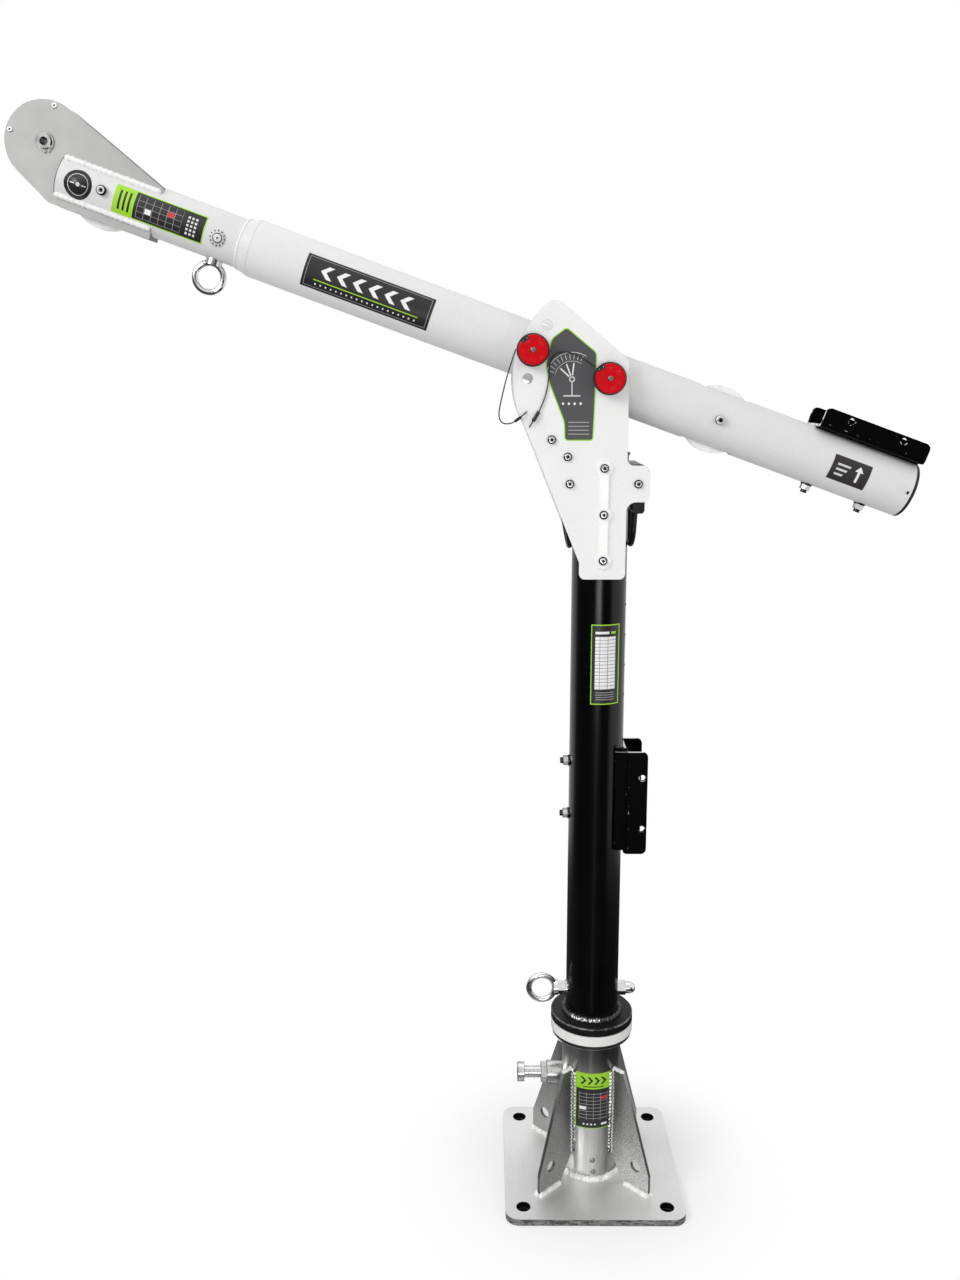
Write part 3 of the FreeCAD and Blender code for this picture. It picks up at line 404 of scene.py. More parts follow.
tone = crust.ramp(0.34, 0.62).blend(grey(0.8, 0.79), grey(1.0, 0.99))
paint(shader, tone, 0.34 + crust * 0.22, crust, 0.0003, 0.6)
seam_weld, shader, place = surface("rippled_seam_weld", {"Metallic": 0.25})
x, y, z = place.axes()
from_middle = abs(abs(abs(x) - abs(y)) / math.sqrt(2.0) - seam_side)
# Painted shade: the valleys between the ripples are near black.
valleys_painted_dark = ((z + from_middle * 1.5) % seam_ripple).ramp(0.0036, 0.0022)
crust = place.noise(700.0, 3.0, 0.6)
tone = valleys_painted_dark.blend(grey(0.97, 0.96), grey(0.04))
paint(shader, tone, 0.3 + crust * 0.2, crust * 0.4 - valleys_painted_dark, 0.0005, 0.7)
for bead in base_welds:
    bead.data.materials.append(seam_weld if bead.name == "gusset_seam_welds" else bright_weld)
    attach(bead, "base")


# Two small round headed rivets close the drain holes low on the sleeve's front. They are turned
# stainless, set with a punch, so their heads are smooth domes.
def choose(piece, rule):
    """Selects the faces that the rule takes, in the piece under work."""
    bpy.ops.mesh.select_mode(type="FACE")
    work = bmesh.from_edit_mesh(piece.data)
    for face in work.faces:
        face.select_set(bool(rule(face)))
    bmesh.update_edit_mesh(piece.data)


def keep_at(piece, matrix):
    """Moves a piece by that matrix and keeps the move in its mesh."""
    piece.matrix_world = matrix
    alone(piece)
    bpy.ops.object.transform_apply(location=True, rotation=True, scale=True)


def settle(piece, spot, way):
    """Turns a piece that was made along Z to face way, and moves it to its spot."""
    keep_at(piece, Matrix.Translation(spot) @ Vector(way).to_track_quat("Z", "Y").to_matrix().to_4x4())


def round_head(name, radius, height, spot, way, recess=0.0):
    """A round head of a rivet or screw, with a sunk drive when it has one."""
    head = fresh(name, bpy.ops.mesh.primitive_cylinder_add, vertices=24, radius=radius, depth=height,
                 location=(0, 0, height / 2))
    bpy.ops.object.transform_apply(location=True)
    bpy.ops.object.mode_set(mode="EDIT")
    choose(head, lambda face: face.normal.z > 0.9)
    bpy.ops.mesh.bevel(offset=height * 0.85, segments=4, profile=0.5, affect="EDGES")
    choose(head, lambda face: face.normal.z > 0.99)
    if recess:
        bpy.ops.mesh.inset(thickness=radius * 0.08)
        choose(head, lambda face: face.normal.z > 0.99 and len(face.verts) > 4)
        bpy.ops.mesh.extrude_region_move(TRANSFORM_OT_translate={"value": (0, 0, -recess)})
    bpy.ops.object.mode_set(mode="OBJECT")
    bpy.ops.object.shade_smooth_by_angle(angle=sharp_edge)
    settle(head, spot, way)
    return head


sharp_edge = math.radians(40.0)
dark_rim = grey(0.12)
rivet_steel, shader, place = surface("punched_rivet_steel", {"Metallic": 1.0, "Specular Tint": dark_rim})
tone = place.noise(240.0, 2.0).blend(grey(0.2), grey(0.46, 0.45))
paint(shader, tone, 0.2 + place.noise(500.0, 2.0) * 0.16)
for name, x, height in (("sleeve_rivet_upper", 0.001, 0.0466), ("sleeve_rivet_lower", 0.0025, 0.025)):
    rivet = round_head(name, 0.0046, 0.003, (x, -sleeve_r + 0.0004, height), (0, -1, 0))
    rivet.data.materials.append(rivet_steel)
    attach(rivet, "base")


# The sleeve's label is a printed vinyl sheet bent round the tube: a lime head band with chevrons, a
# charcoal panel with a ruled table and a row of dots, and a lime edge. It stands a hair proud.
lime = (0.33, 0.66, 0.025, 1.0)
charcoal = (0.02, 0.019, 0.02, 1.0)
label_white = grey(0.82)
label_red = (0.62, 0.035, 0.035, 1.0)
label_lay = 0.0001
vinyl_thick = 0.00018


def thicken(sheet, skin):
    """Gives a sheet that much thickness, outward."""
    wall = sheet.modifiers.new("skin", "SOLIDIFY")
    wall.thickness = skin
    wall.offset = 1.0
    bpy.ops.object.modifier_apply(modifier=wall.name)


def bent_sheet(name, tube_r, low, high, start, stop):
    """A thin sheet on a tube along Z, from low to high and between two sideways reaches."""
    radius = tube_r + label_lay
    sheet = fresh(name, bpy.ops.mesh.primitive_cylinder_add, vertices=160, radius=radius, depth=high - low,
                  end_fill_type="NOTHING", location=(0, 0, (low + high) / 2))
    bpy.ops.object.transform_apply(location=True)
    bpy.ops.object.mode_set(mode="EDIT")
    for reach, side in ((start, -1), (stop, 1)):
        turn = math.asin(reach / radius)
        bpy.ops.mesh.select_all(action="SELECT")
        bpy.ops.mesh.bisect(plane_co=(0, 0, 0), plane_no=(side * math.cos(turn), side * math.sin(turn), 0),
                            clear_outer=True)
    bpy.ops.object.mode_set(mode="OBJECT")
    thicken(sheet, vinyl_thick)
    bpy.ops.object.shade_smooth_by_angle(angle=math.radians(30.0))
    return sheet


def box(across, up, left, right, low, high):
    return across.within(left, right) * up.within(low, high)


def dot_row(across, up, left, right, middle, pitch, radius):
    """A row of dots at that height, one to each pitch."""
    return across.within(left, right) * (((across % pitch) - pitch / 2).hypot(up - middle) < radius)


def vinyl_at(name, spot, turn=0.0, steady=()):
    """A label's material, shader and place, and the ways across, into and up it from a spot."""
    vinyl = surface(name, steady)
    return vinyl, *vinyl[2].seen_from(spot, turn).axes()


def print_on(label, vinyl, ground, *marks):
    """Lays coloured marks on a ground colour, one over the other, with the vinyl's faint print grain."""
    sheet, shader, place = vinyl
    for mask, colour in marks:
        ground = mask.blend(ground, colour)
    paint(shader, ground, 0.3 + place.noise(420.0, 2.0) * 0.16, place.noise(90.0, 2.0), 0.00006, 0.4)
    label.data.materials.append(sheet)


sleeve_label = bent_sheet("sleeve_label", sleeve_r, 0.107, 0.21, -0.029, 0.031)
vinyl, across, _, up = vinyl_at("sleeve_label_vinyl", (0.001, 0.0, 0.1585))
rows = box(across, up, -0.024, 0.024, -0.036, 0.016) * (up % 0.0065 < 0.0007)
columns = box(across, up, -0.024, 0.0245, -0.0365, 0.016) * ((across + 0.024) % 0.012 < 0.0005)
bent = across + abs(up - 0.038) * 0.9 - 0.003
chevrons = up.within(0.031, 0.045) * bent.within(-0.023, 0.023) * (abs(bent % 0.0115 - 0.00575) < 0.0021)
print_on(
    sleeve_label, vinyl, (up > 0.0225).blend(charcoal, lime),
    (rows | columns, grey(0.42)),
    (box(across, up, -0.0235, -0.0125, -0.0165, -0.0105), label_white),
    (box(across, up, 0.0125, 0.0235, 0.003, 0.0088), label_red),
    (dot_row(across, up, -0.0192, 0.0064, -0.0435, 0.0064, 0.0017), label_white),
    (box(across, up, 0.014, 0.024, -0.0455, -0.0415), label_white),
    (chevrons, charcoal),
    (box(across, up, -0.018, 0.018, 0.0258, 0.0276), charcoal),
    ((abs(across) > 0.0286) | (abs(up) > 0.0502), lime)
)
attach(sleeve_label, "base")


# The spring plunger that stops the mast from turning: a turned boss welded to the sleeve, a hex nut,
# and a bright turned stem with a pull knob. All are plain turned steel with fine tool rings.
def edge_mask(place, radius, sharp):
    """A soft line along the sharp edges of a piece, as wide as the radius."""
    soft = place.node("Bevel", {"samples": 4}, {"Radius": radius})
    flat = place.node("NewGeometry", (), (), 1)
    return soft.node("VectorMath", {"operation": "DOT_PRODUCT"}, {0: soft, 1: flat}, 1).ramp(0.985, sharp)


turned_steel, shader, place = surface("turned_steel", {"Metallic": 1.0, "Specular Tint": dark_rim})
rings = place.stretched(2600.0, 90.0, 90.0).noise(1.0, 3.0)
clouds = place.noise(120.0, 3.0)
tone = (rings * 0.6 + clouds * 0.4).ramp(0.3, 0.7).blend(grey(0.46), grey(0.82, 0.81))
# Painted shade: a dark line along the sharp edges.
tone = (edge_mask(place, 0.0018, 0.88) * 0.95).blend(tone, grey(0.02))
paint(shader, tone, 0.17 + clouds * 0.18, rings, 0.00004, 0.4)
dress(turned_steel, "plunger_body", "plunger")


# The bearing ring is a turned ring of natural white nylon that the mast's flange slides on. It is
# smooth and a little waxy, with faint turning marks and a trace of grey grime.
nylon_ring, shader, place = surface("natural_nylon_ring")
rings = place.stretched(30.0, 30.0, 2200.0).noise(1.0, 3.0)
grime = place.noise(45.0, 4.0, 0.6).ramp(0.58, 0.75)
paint(shader, grime.blend(grey(0.8, 0.785), grey(0.6, 0.585)), 0.36 + rings * 0.2, rings, 0.00005, 0.5)
dress(nylon_ring, "bearing_ring")


# The mast is a steel tube with a thick turned flange welded on near its foot, coated in gloss black
# powder that flowed out smooth, with a slight orange peel. A moulded black cap closes its top.
mast_r = 0.04445
gloss_black, shader, place = surface("gloss_black_coat", {"IOR": 1.37})
clouds = place.noise(11.0, 4.0)
dust = place.noise(900.0, 2.0).ramp(0.7, 0.8)
tone = (dust * 0.5 + clouds * 0.2).blend(grey(0.0006), grey(0.01))
paint(shader, tone, 0.15 + clouds * 0.16, place.noise(230.0, 2.0), 0.0001, 0.28)
dress(gloss_black, "mast_tube")

flange_rim_r = 0.0682
flange_rim_low = 0.301
flange_black, shader, place = surface("worn_flange_coat", {"IOR": 1.25})
grain = place.noise(800.0, 3.0, 0.65)
rubs = place.noise(60.0, 5.0, 0.7)
x, y, z = place.axes()
rim = (x.hypot(y) > flange_rim_r) * (z > flange_rim_low)
scuff = (rubs.ramp(0.66, 0.74) * grain.ramp(0.4, 0.6)) | (rim * rubs.ramp(0.4, 0.58))
tone = grain.ramp(0.3, 0.75).blend(grey(0.003), grey(0.014))
paint(shader, (scuff * 0.8).blend(tone, grey(0.26)), 0.3 + grain * 0.22, grain, 0.0001, 0.5)
dress(flange_black, "mast_flange")


def moulded_black(name, grit, cloud, low, high, rough, height):
    """Black plastic or rubber out of a mould, clouded between two greys, with a fine grit."""
    moulded, shader, place = surface(name, {"IOR": 1.48})
    grain = place.noise(grit, 2.0)
    tone = place.noise(cloud, 3.0).blend(grey(low), grey(high))
    paint(shader, tone, rough + grain * 0.2, grain, height, 0.5)
    return moulded


dress(moulded_black("moulded_black_plastic", 1400.0, 30.0, 0.01, 0.026, 0.38, 0.00008), "mast_cap",
      "boom_end_cap")


# A weld bead joins mast and flange all round. It was coated over with the mast, and the coat is
# rubbed through to bright metal on its front, where the ripples stand highest.
flange_weld_up = 0.3046
mast_weld = weld("mast_flange_weld", [ring_path(mast_r + 0.0022, flange_weld_up)], 0.0105, 0.0044, True, 17)
worn_weld, shader, place = surface("coated_weld", {"Coat Weight": 0.3, "Coat Roughness": 0.2})
crust = place.noise(420.0, 3.0, 0.6)
x, y, z = place.axes()
front = y.ramp(-0.024, -0.036) * x.within(-0.037, 0.01)
rubbed = front * place.noise(330.0, 3.0).ramp(0.47, 0.54) * z.ramp(0.304, 0.3072)
rubbed = rubbed | place.noise(75.0, 4.0, 0.7).ramp(0.66, 0.72) * z.ramp(0.306, 0.3085)
paint(shader, rubbed.blend(grey(0.014), grey(0.8, 0.79)), 0.26 + crust * 0.2, crust, 0.0003, 0.5)
(rubbed * 0.9).into(shader, "Metallic")
mast_weld.data.materials.append(worn_weld)
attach(mast_weld, "mast")


# The lifting eye bolts at the mast's foot and under the boom are drop forged and bright zinc plated,
# with washers and nuts. Polished by wear, they mirror the white sweep and the dark front.
def plated(name, low, high, cloud, metallic=1.0):
    """Bright plated steel: its material, shader and place, its clouds, and a tone that goes with them."""
    steel, shader, place = surface(name, {"Metallic": metallic, "Specular Tint": dark_rim})
    clouds = place.noise(cloud, 3.0)
    return steel, shader, place, clouds, clouds.ramp(0.3, 0.7).blend(grey(low), grey(high, high - 0.01))


eye_steel, shader, place, clouds, tone = plated("polished_eye_steel", 0.74, 0.9, 60.0)
pits = place.noise(420.0, 3.0)
# Painted shade: a dark line along the sharp edges.
tone = (edge_mask(place, 0.0007, 0.8) * 0.9).blend(tone, grey(0.03))
paint(shader, tone, 0.13 + clouds * 0.12, clouds + pits * 0.3, 0.00008, 0.3)
dress(eye_steel, "mast_eye_bolt", "boom_eye_bolt")


# The winch brackets are 4 mm steel channels, folded, coated satin black and bolted through the tubes
# with plated bolts. Winches have chipped the coat at the folds, the pin holes and here and there.
def worn_bracket(name, holes, spot, turn, end):
    """Satin black coat, chipped in small bright specks and rubbed round the pin holes (x, z) and off the
    cut end towards the head, which is counted from a spot along a turned axis."""
    coat, shader, place = surface(name, {"IOR": 1.13})
    grain = place.noise(700.0, 3.0)
    speck = place.node("TexVoronoi", {"feature": "F1"}, {"Vector": place, "Scale": 62.0, "Randomness": 1.0})
    chosen = Shade(place.tree, speck.socket.node.outputs["Color"]).axes()[0] > 0.93
    chips = (speck + place.noise(900.0, 2.0) * 0.1 < 0.16) * chosen
    chips = chips | edge_mask(place, 0.0016, 0.93) * place.noise(130.0, 4.0, 0.7).ramp(0.6, 0.66)
    x, _, z = place.axes()
    for hole_x, hole_z in holes:
        halo = (x - hole_x).hypot(z - hole_z).within(0.005, 0.0064)
        chips = chips | halo * place.noise(210.0, 3.0).ramp(0.56, 0.62)
    bared = abs(place.seen_from(spot, turn).axes()[0] - end) < 0.0003
    chips = chips | bared * place.noise(90.0, 3.0).ramp(0.34, 0.46)
    tone = grain.ramp(0.3, 0.75).blend(grey(0.0004), grey(0.003))
    tone = chips.blend(tone, grey(0.72, 0.71))
    paint(shader, tone, 0.3 + grain * 0.2, grain - chips * 0.8, 0.00012, 0.5)
    (chips * 0.7).into(shader, "Metallic")
    return coat


def washer_bolts(name, spot, turn, radius):
    """Plated bolts through a tube, their nuts bright, with painted shade on the washers, on the thread
    ends on the far side and along the sharp edges.
    """
    steel, shader, place, clouds, tone = plated(name, 0.5, 0.74, 110.0)
    up = place.seen_from(spot, turn).axes()[2]
    # Painted shade: the washers, the thread ends and the sharp edges are near black.
    dark = up.within(-radius - 0.0021, -radius + 0.004) | (up < -radius - 0.0099)
    dark = dark | edge_mask(place, 0.0009, 0.85)
    paint(shader, (dark * 0.94).blend(tone, grey(0.012)), 0.14 + clouds * 0.14)
    return steel


mast_axis = ((0.0, 0.0, 0.0), 90.0)
mast_pin_holes = ((0.07295, 0.645), (0.07295, 0.733))
mast_bracket_end = -0.7765
dress(worn_bracket("mast_bracket_coat", mast_pin_holes, *mast_axis, mast_bracket_end), "mast_winch_bracket")
dress(washer_bolts("mast_bracket_bolt_steel", *mast_axis, mast_r), "mast_bracket_bolts")


# The mast's label is a printed table on vinyl with a lime edge, a dark head and foot and ruled blank
# rows. A white strip with black ticks runs up the mast's right side.
mast_label = bent_sheet("mast_label", mast_r, 0.858, 0.99, -0.015, 0.031)
vinyl, across, _, up = vinyl_at("mast_label_vinyl", (0.008, 0.0, 0.924))
table = box(across, up, -0.0165, 0.0165, -0.041, 0.046)
columns = (abs(across - 0.004) < 0.0004) | (abs(across + 0.009) < 0.0004)
rules = table * (((up + 0.041) % 0.0058 < 0.0008) | columns)
foot = box(across, up, -0.015, 0.015, -0.058, -0.045) * ((up + 0.058) % 0.0038 < 0.0011)
print_on(
    mast_label, vinyl, table.blend(charcoal, label_white),
    (rules, grey(0.16)),
    (foot, grey(0.36)),
    (box(across, up, -0.0165, 0.006, 0.0505, 0.0545), label_white),
    (box(across, up, 0.009, 0.0165, 0.0505, 0.0545), lime),
    ((abs(across) > 0.0216) | (abs(up) > 0.0642), lime)
)

strip_low = 0.865
strip_turn = 77.0
tick_strip = bent_sheet("mast_tick_strip", mast_r, strip_low, 1.065, -0.0046, 0.0046)
keep_at(tick_strip, Matrix.Rotation(math.radians(strip_turn), 4, "Z"))
vinyl, _, across, up = vinyl_at("tick_strip_vinyl", (0.0, 0.0, strip_low))
ticks = (up % 0.01 < 0.004) * (across.within(-0.0046, 0.0008) | (up % 0.05 < 0.004))
print_on(tick_strip, vinyl, ticks.blend(label_white, charcoal))
for piece in (mast_label, tick_strip):
    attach(piece, "mast")


# The head is a pair of 6 mm steel plates bolted through packers to the mast's top, coated with white
# powder that dried in a fine pebbled texture. Smooth white strips under the bolts spread their load.
def powder_coat(name, tone, low, pebble, cap=None):
    """White powder coat: a pebbled skin, faint clouds of tone, a darker line along its edges that is
    partly grime and partly painted shade and, where cap masks it, near black, which is a cap's thin
    skirt at the boom's rear and painted shade at the front tube's end."""
    coat, shader, place = surface(name, {"IOR": 1.45})
    pebbles = place.noise(pebble, 2.0, 0.55)
    fine = place.noise(pebble * 2.4, 2.0)
    shade = (pebbles * 0.55 + fine * 0.25 + place.noise(16.0, 4.0) * 0.2).ramp(0.3, 0.62)
    skin = shade.blend(grey(tone * low, tone * low * 0.995), grey(tone, tone * 0.995))
    # Painted shade, with some grime: a darker line along the edges.
    edge_grime_and_shade = edge_mask(place, 0.0014, 0.8) * place.noise(200.0, 3.0).ramp(0.25, 0.5)
    skin = edge_grime_and_shade.blend(skin, grey(tone * 0.55, tone * 0.54))
    # Near black at an end: a cap's skirt at the boom's rear, painted shade at the front tube's end.
    if cap:
        skin = cap(place).blend(skin, grey(0.012))
    paint(shader, skin, 0.42 + pebbles * 0.2, pebbles + fine * 0.4, 0.00022, 0.5)
    return coat


head_bolt_spots = ((0.0, 1.095), (0.0, 1.1675), (0.0, 1.24), (-0.082, 1.284), (-0.057, 1.2575),
                   (-0.05325, 1.2155), (0.05325, 1.2155))
button_shade_ring = (0.0052, 0.007)
button_socket_shade_r = 0.0026
# The head's coat is painted lighter than the boom's, as painted light, though it is the same powder.
dress(powder_coat("head_white_coat_painted_lighter", 0.875, 0.94, 620.0), "head_plate_near", "head_plate_far",
      "head_packers", "head_spacers")
dress(powder_coat("strip_white_coat", 0.98, 0.99, 300.0), "head_strips")
button_steel, shader, place, clouds, tone = plated("button_head_steel", 0.62, 0.86, 160.0)
x, _, z = place.axes()
# Painted shade: a dark ring round each bolt head and a dark socket at its middle.
for bolt_x, bolt_z in head_bolt_spots:
    out = (x - bolt_x).hypot(z - bolt_z)
    tone = (out.within(*button_shade_ring) | (out < button_socket_shade_r)).blend(tone, grey(0.03))
paint(shader, tone, 0.18 + clouds * 0.2)
dress(button_steel, "head_bolts")


# A charcoal label fills the middle of the head's near plate, cut to the plate's slanting shape with
# rounded corners and a lime edge. It carries an arc scale with three rays, dots and a ruled foot.
def flat_label(name, corners, front, rim, rounding):
    """A flat label on a plane of constant y, cut to its corners (x, z), with a rim of its own material."""
    label = fresh(name, bpy.ops.mesh.primitive_circle_add, vertices=len(corners), radius=0.05,
                  fill_type="NGON")
    for vertex, (x, z) in zip(label.data.vertices, corners):
        vertex.co = (x, front, z)
    bpy.ops.object.mode_set(mode="EDIT")
    bpy.ops.mesh.select_all(action="SELECT")
    bpy.ops.mesh.bevel(offset=rounding, segments=5, affect="VERTICES")
    bpy.ops.mesh.select_all(action="SELECT")
    bpy.ops.mesh.normals_make_consistent(inside=False)
    work = bmesh.from_edit_mesh(label.data)
    if max(work.faces, key=lambda face: face.calc_area()).normal.y > 0:
        bpy.ops.mesh.flip_normals()
    bpy.ops.mesh.inset(thickness=rim)
    bpy.ops.object.mode_set(mode="OBJECT")
    widest = max(label.data.polygons, key=lambda face: face.area)
    for face in label.data.polygons:
        face.material_index = int(face.index != widest.index)
    thicken(label, head_label_thick)
    return label


head_front = -0.05545
head_label_thick = 0.00025
head_corners = ((-0.0611, 1.4546), (-0.0143, 1.4162), (-0.0161, 1.3357), (-0.0181, 1.2823), (-0.0627, 1.2823),
                (-0.0638, 1.311), (-0.0868, 1.3686), (-0.0934, 1.399), (-0.0843, 1.4374))
head_label = flat_label("head_label", head_corners, head_front - label_lay, 0.0016, 0.0052)
vinyl, across, _, up = vinyl_at("head_label_vinyl", (-0.052, 0.0, 1.376))
radius = across.hypot(up)
turn = up.math("ARCTAN2", across)
fan = turn.within(math.radians(58.0), math.radians(164.0))
scale = fan * (radius.within(0.04, 0.041) | radius.within(0.027, 0.0277))
spokes = fan * radius.within(0.03, 0.0385) * (turn % math.radians(10.6) < math.radians(1.7))
hub = radius.within(0.0026, 0.0046)
post = box(across, up, -0.0009, 0.0009, -0.024, -0.0046)
bed = box(across, up, -0.013, 0.013, -0.0262, -0.024)
needles = [(abs(turn - math.radians(angle)) * radius < 0.001) * radius.within(0.006, 0.0245)
           for angle in (84.0, 111.0, 138.0)]
ruled = box(across, up, -0.005, 0.027, -0.086, -0.062) * (up % 0.006 < 0.0012)
print_on(
    head_label, vinyl, (0.072, 0.07, 0.075, 1.0),
    (scale | spokes | hub | post | bed, grey(0.6)),
    *[(needle, label_white) for needle in needles],
    (dot_row(across, up, -0.016, 0.02, -0.037, 0.009, 0.0019), label_white),
    (ruled, grey(0.4))
)
edge_sheet, shader, place = surface("lime_label_edge")
tone = place.noise(60.0, 2.0).blend(lime, (0.36, 0.7, 0.05, 1.0))
paint(shader, tone, 0.3 + place.noise(420.0, 2.0) * 0.16)
head_label.data.materials.append(edge_sheet)
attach(head_label, "mast")


# Two tie-off loops of bent round bar hang beside the mast from blocks at the head's foot. They are
# forged steel, coated satin black, with a soft sheen along the bar.
loop_black, shader, place = surface("satin_black_loop", {"IOR": 1.38})
grain = place.noise(900.0, 2.0)
clouds = place.noise(40.0, 3.0)
tone = clouds.ramp(0.4, 0.8).blend(grey(0.004), grey(0.016))
paint(shader, tone, 0.24 + grain * 0.24, grain + clouds, 0.00012, 0.4)
dress(loop_black, "tie_off_loop_left", "tie_off_loop_right")


# The boom turns on a pivot pin and is held by a lock pin in one of three holes. Each plated pin has
# a black rim and a red anodised cap, turned in fine rings, with a screw at its middle.
zinc, shader, place, clouds, tone = plated("bright_zinc", 0.44, 0.66, 110.0)
# Painted shade: a dark line along the sharp edges.
tone = (edge_mask(place, 0.0009, 0.85) * 0.9).blend(tone, grey(0.03))
paint(shader, tone, 0.12 + clouds * 0.14, clouds, 0.00003, 0.2)
dress(zinc, "pivot_pin", "lock_pin")
pivot = Vector((0.005, 0.0, 1.377))
knob_front = -0.07685
rim_black = moulded_black("black_rim_rubber", 1200.0, 40.0, 0.008, 0.022, 0.4, 0.0001)
dress(rim_black, "knob_rims")

for kind, x_spot, z_spot in (("lock", -0.11246, 1.41975), ("pivot", pivot.x, pivot.z)):
    red, shader, place = surface(kind + "_knob_red", {"IOR": 1.22})
    across, _, up = place.seen_from((x_spot, 0.0, z_spot)).axes()
    radius = across.hypot(up)
    rings = (radius * 1500.0).math("SINE")
    scuffs = place.noise(120.0, 4.0, 0.65)
    band = radius.within(0.0125, 0.0185) * scuffs.ramp(0.48, 0.66)
    worn = band * 0.35 | scuffs.ramp(0.68, 0.74) * 0.5
    tone = worn.blend((0.57, 0.0, 0.005, 1.0), (0.66, 0.04, 0.04, 1.0))
    tone = (radius > 0.0224).blend(tone, (0.34, 0.002, 0.005, 1.0))
    paint(shader, tone, 0.26 + scuffs * 0.18, rings * 0.5 + scuffs, 0.00004, 0.4)
    dress(red, kind + "_knob")
    screw = round_head(kind + "_knob_screw", 0.0042, 0.0014, (x_spot, knob_front, z_spot), (0, -1, 0), 0.001)
    screw.data.materials.append(rivet_steel)
    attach(screw, "mast")


# A black moulded tab is held to each knob's face near the rim by two tiny rivets. It takes the end
# of the wire that keeps the pin from being lost.
tab_front = -0.077
tab_size = (0.013, 0.0058, 0.0012)
tab_rivet_out = 0.0036
for kind, spot, lean in (("lock", Vector((-0.125, tab_front, 1.4352)), 38.0),
                         ("pivot", Vector((-0.0095, tab_front, 1.3925)), 30.0)):
    tab = fresh(kind + "_knob_tab", bpy.ops.mesh.primitive_cube_add, size=1.0)
    tab.scale = tab_size
    bpy.ops.object.transform_apply(scale=True)
    bpy.ops.object.mode_set(mode="EDIT")
    bpy.ops.mesh.select_all(action="SELECT")
    bpy.ops.mesh.bevel(offset=0.0005, segments=2, affect="EDGES")
    choose(tab, lambda face: face.normal.z > 0.99)
    bpy.ops.mesh.inset(thickness=0.0009, depth=-0.0003)
    bpy.ops.object.mode_set(mode="OBJECT")
    turned = Matrix.Rotation(math.radians(90.0), 4, "X") @ Matrix.Rotation(math.radians(lean), 4, "Z")
    keep_at(tab, Matrix.Translation(spot) @ turned)
    bpy.ops.object.shade_smooth_by_angle(angle=sharp_edge)
    tab.data.materials.append(rim_black)
    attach(tab, "mast")
    along = turned.to_3x3() @ Vector((tab_rivet_out, 0.0, 0.0))
    for side in (-1, 1):
        rivet = round_head(f"{kind}_tab_rivet_{(side + 3) // 2}", 0.0009, 0.0006,
                           spot + along * side + Vector((0.0, -0.0003, 0.0)), (0, -1, 0))
        rivet.data.materials.append(zinc)
        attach(rivet, "mast")


# A thin black coated wire rope runs from each knob to a small hole in the head's near plate, so
# that the pin stays with the arm. A crimped black ferrule closes the loop at its lower end.
wire_r = 0.001
wire_black, shader, place = surface("coated_wire", {"IOR": 1.46})
along, round_it, _ = Shade(place.tree, place.socket.node.outputs["UV"]).axes()
strands = (along * 420.0 + round_it * math.tau * 3.0).math("SINE")
tone = strands.ramp(-0.6, 0.9).blend(grey(0.006), grey(0.035))
paint(shader, tone, 0.3 + place.noise(500.0) * 0.2, strands, 0.00012, 0.5)

lock_route = ((-143.6, -66, 44), (-156.5, -64, 6), (-165, -62, -30), (-170, -60, -55), (-165, -59, -68),
              (-152, -58.6, -69), (-141, -59, -63), (-132, -59.2, -55.5), (-127.2, -58.2, -51.4),
              (-126.8, -53.5, -51))
pivot_route = ((-21.5, -66, 15), (-38, -63, 29), (-56, -60.5, 38), (-71, -59, 41), (-85, -58, 36),
               (-92, -57.6, 23), (-92.5, -57.5, 3), (-95, -57.4, -17), (-102, -57.6, -39), (-109, -58.4, -53),
               (-117, -59.2, -66), (-121.3, -58.2, -72.8), (-121.6, -53.5, -73.4))
for kind, route, length, ends, thick in (
        ("lock", lock_route, 0.162, ((-144.6, -58.9, -65.0), (-134.6, -59.1, -58.0)), 0.0024),
        ("pivot", pivot_route, 0.191, ((-107.5, -58.2, -50.0), (-116.5, -59.2, -65.0)), 0.0028)):
    curve, wire = round_curve(kind + "_lanyard_wire", wire_r, 3)
    curve.resolution_u = 10
    spline = curve.splines.new("NURBS")
    spline.points.add(len(route) - 1)
    for point, spot in zip(spline.points, route):
        point.co = (*(pivot + Vector(spot) / 1000), 1.0)
    spline.order_u = 3
    spline.use_endpoint_u = True
    curve.materials.append(wire_black)

    first, last = [pivot + Vector(end) / 1000 for end in ends]
    ferrule = fresh(kind + "_lanyard_ferrule", bpy.ops.mesh.primitive_cylinder_add, vertices=20, radius=thick,
                    depth=(last - first).length)
    bpy.ops.object.mode_set(mode="EDIT")
    choose(ferrule, lambda face: abs(face.normal.z) > 0.9)
    bpy.ops.mesh.bevel(offset=thick * 0.5, segments=3, affect="EDGES")
    bpy.ops.object.mode_set(mode="OBJECT")
    bpy.ops.object.shade_smooth_by_angle(angle=sharp_edge)
    settle(ferrule, (first + last) / 2, last - first)
    ferrule.data.materials.append(rim_black)
    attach(ferrule, "mast")
    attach(wire, "mast")
    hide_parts(kind + "_lanyard")


# The boom is two steel tubes, the front one let into a coned step and welded, coated with the same
# pebbled white powder as the head. A moulded black cap with a small screw closes its rear end. The
# boom's coat is painted darker than the head's and the front tube's darker still, as painted shade,
# and the front tube's open end is painted near black as painted shade.
boom_tilt = 20.0
boom_r = 0.04445
front_r = 0.0381
boom_rear = 0.51
boom_front = -0.89
dress(powder_coat("boom_white_coat", 0.745, 0.92, 520.0,
                  lambda place: place.seen_from(pivot, boom_tilt).axes()[0] > boom_rear - 0.0016),
      "boom_tube", "boom_bushes")
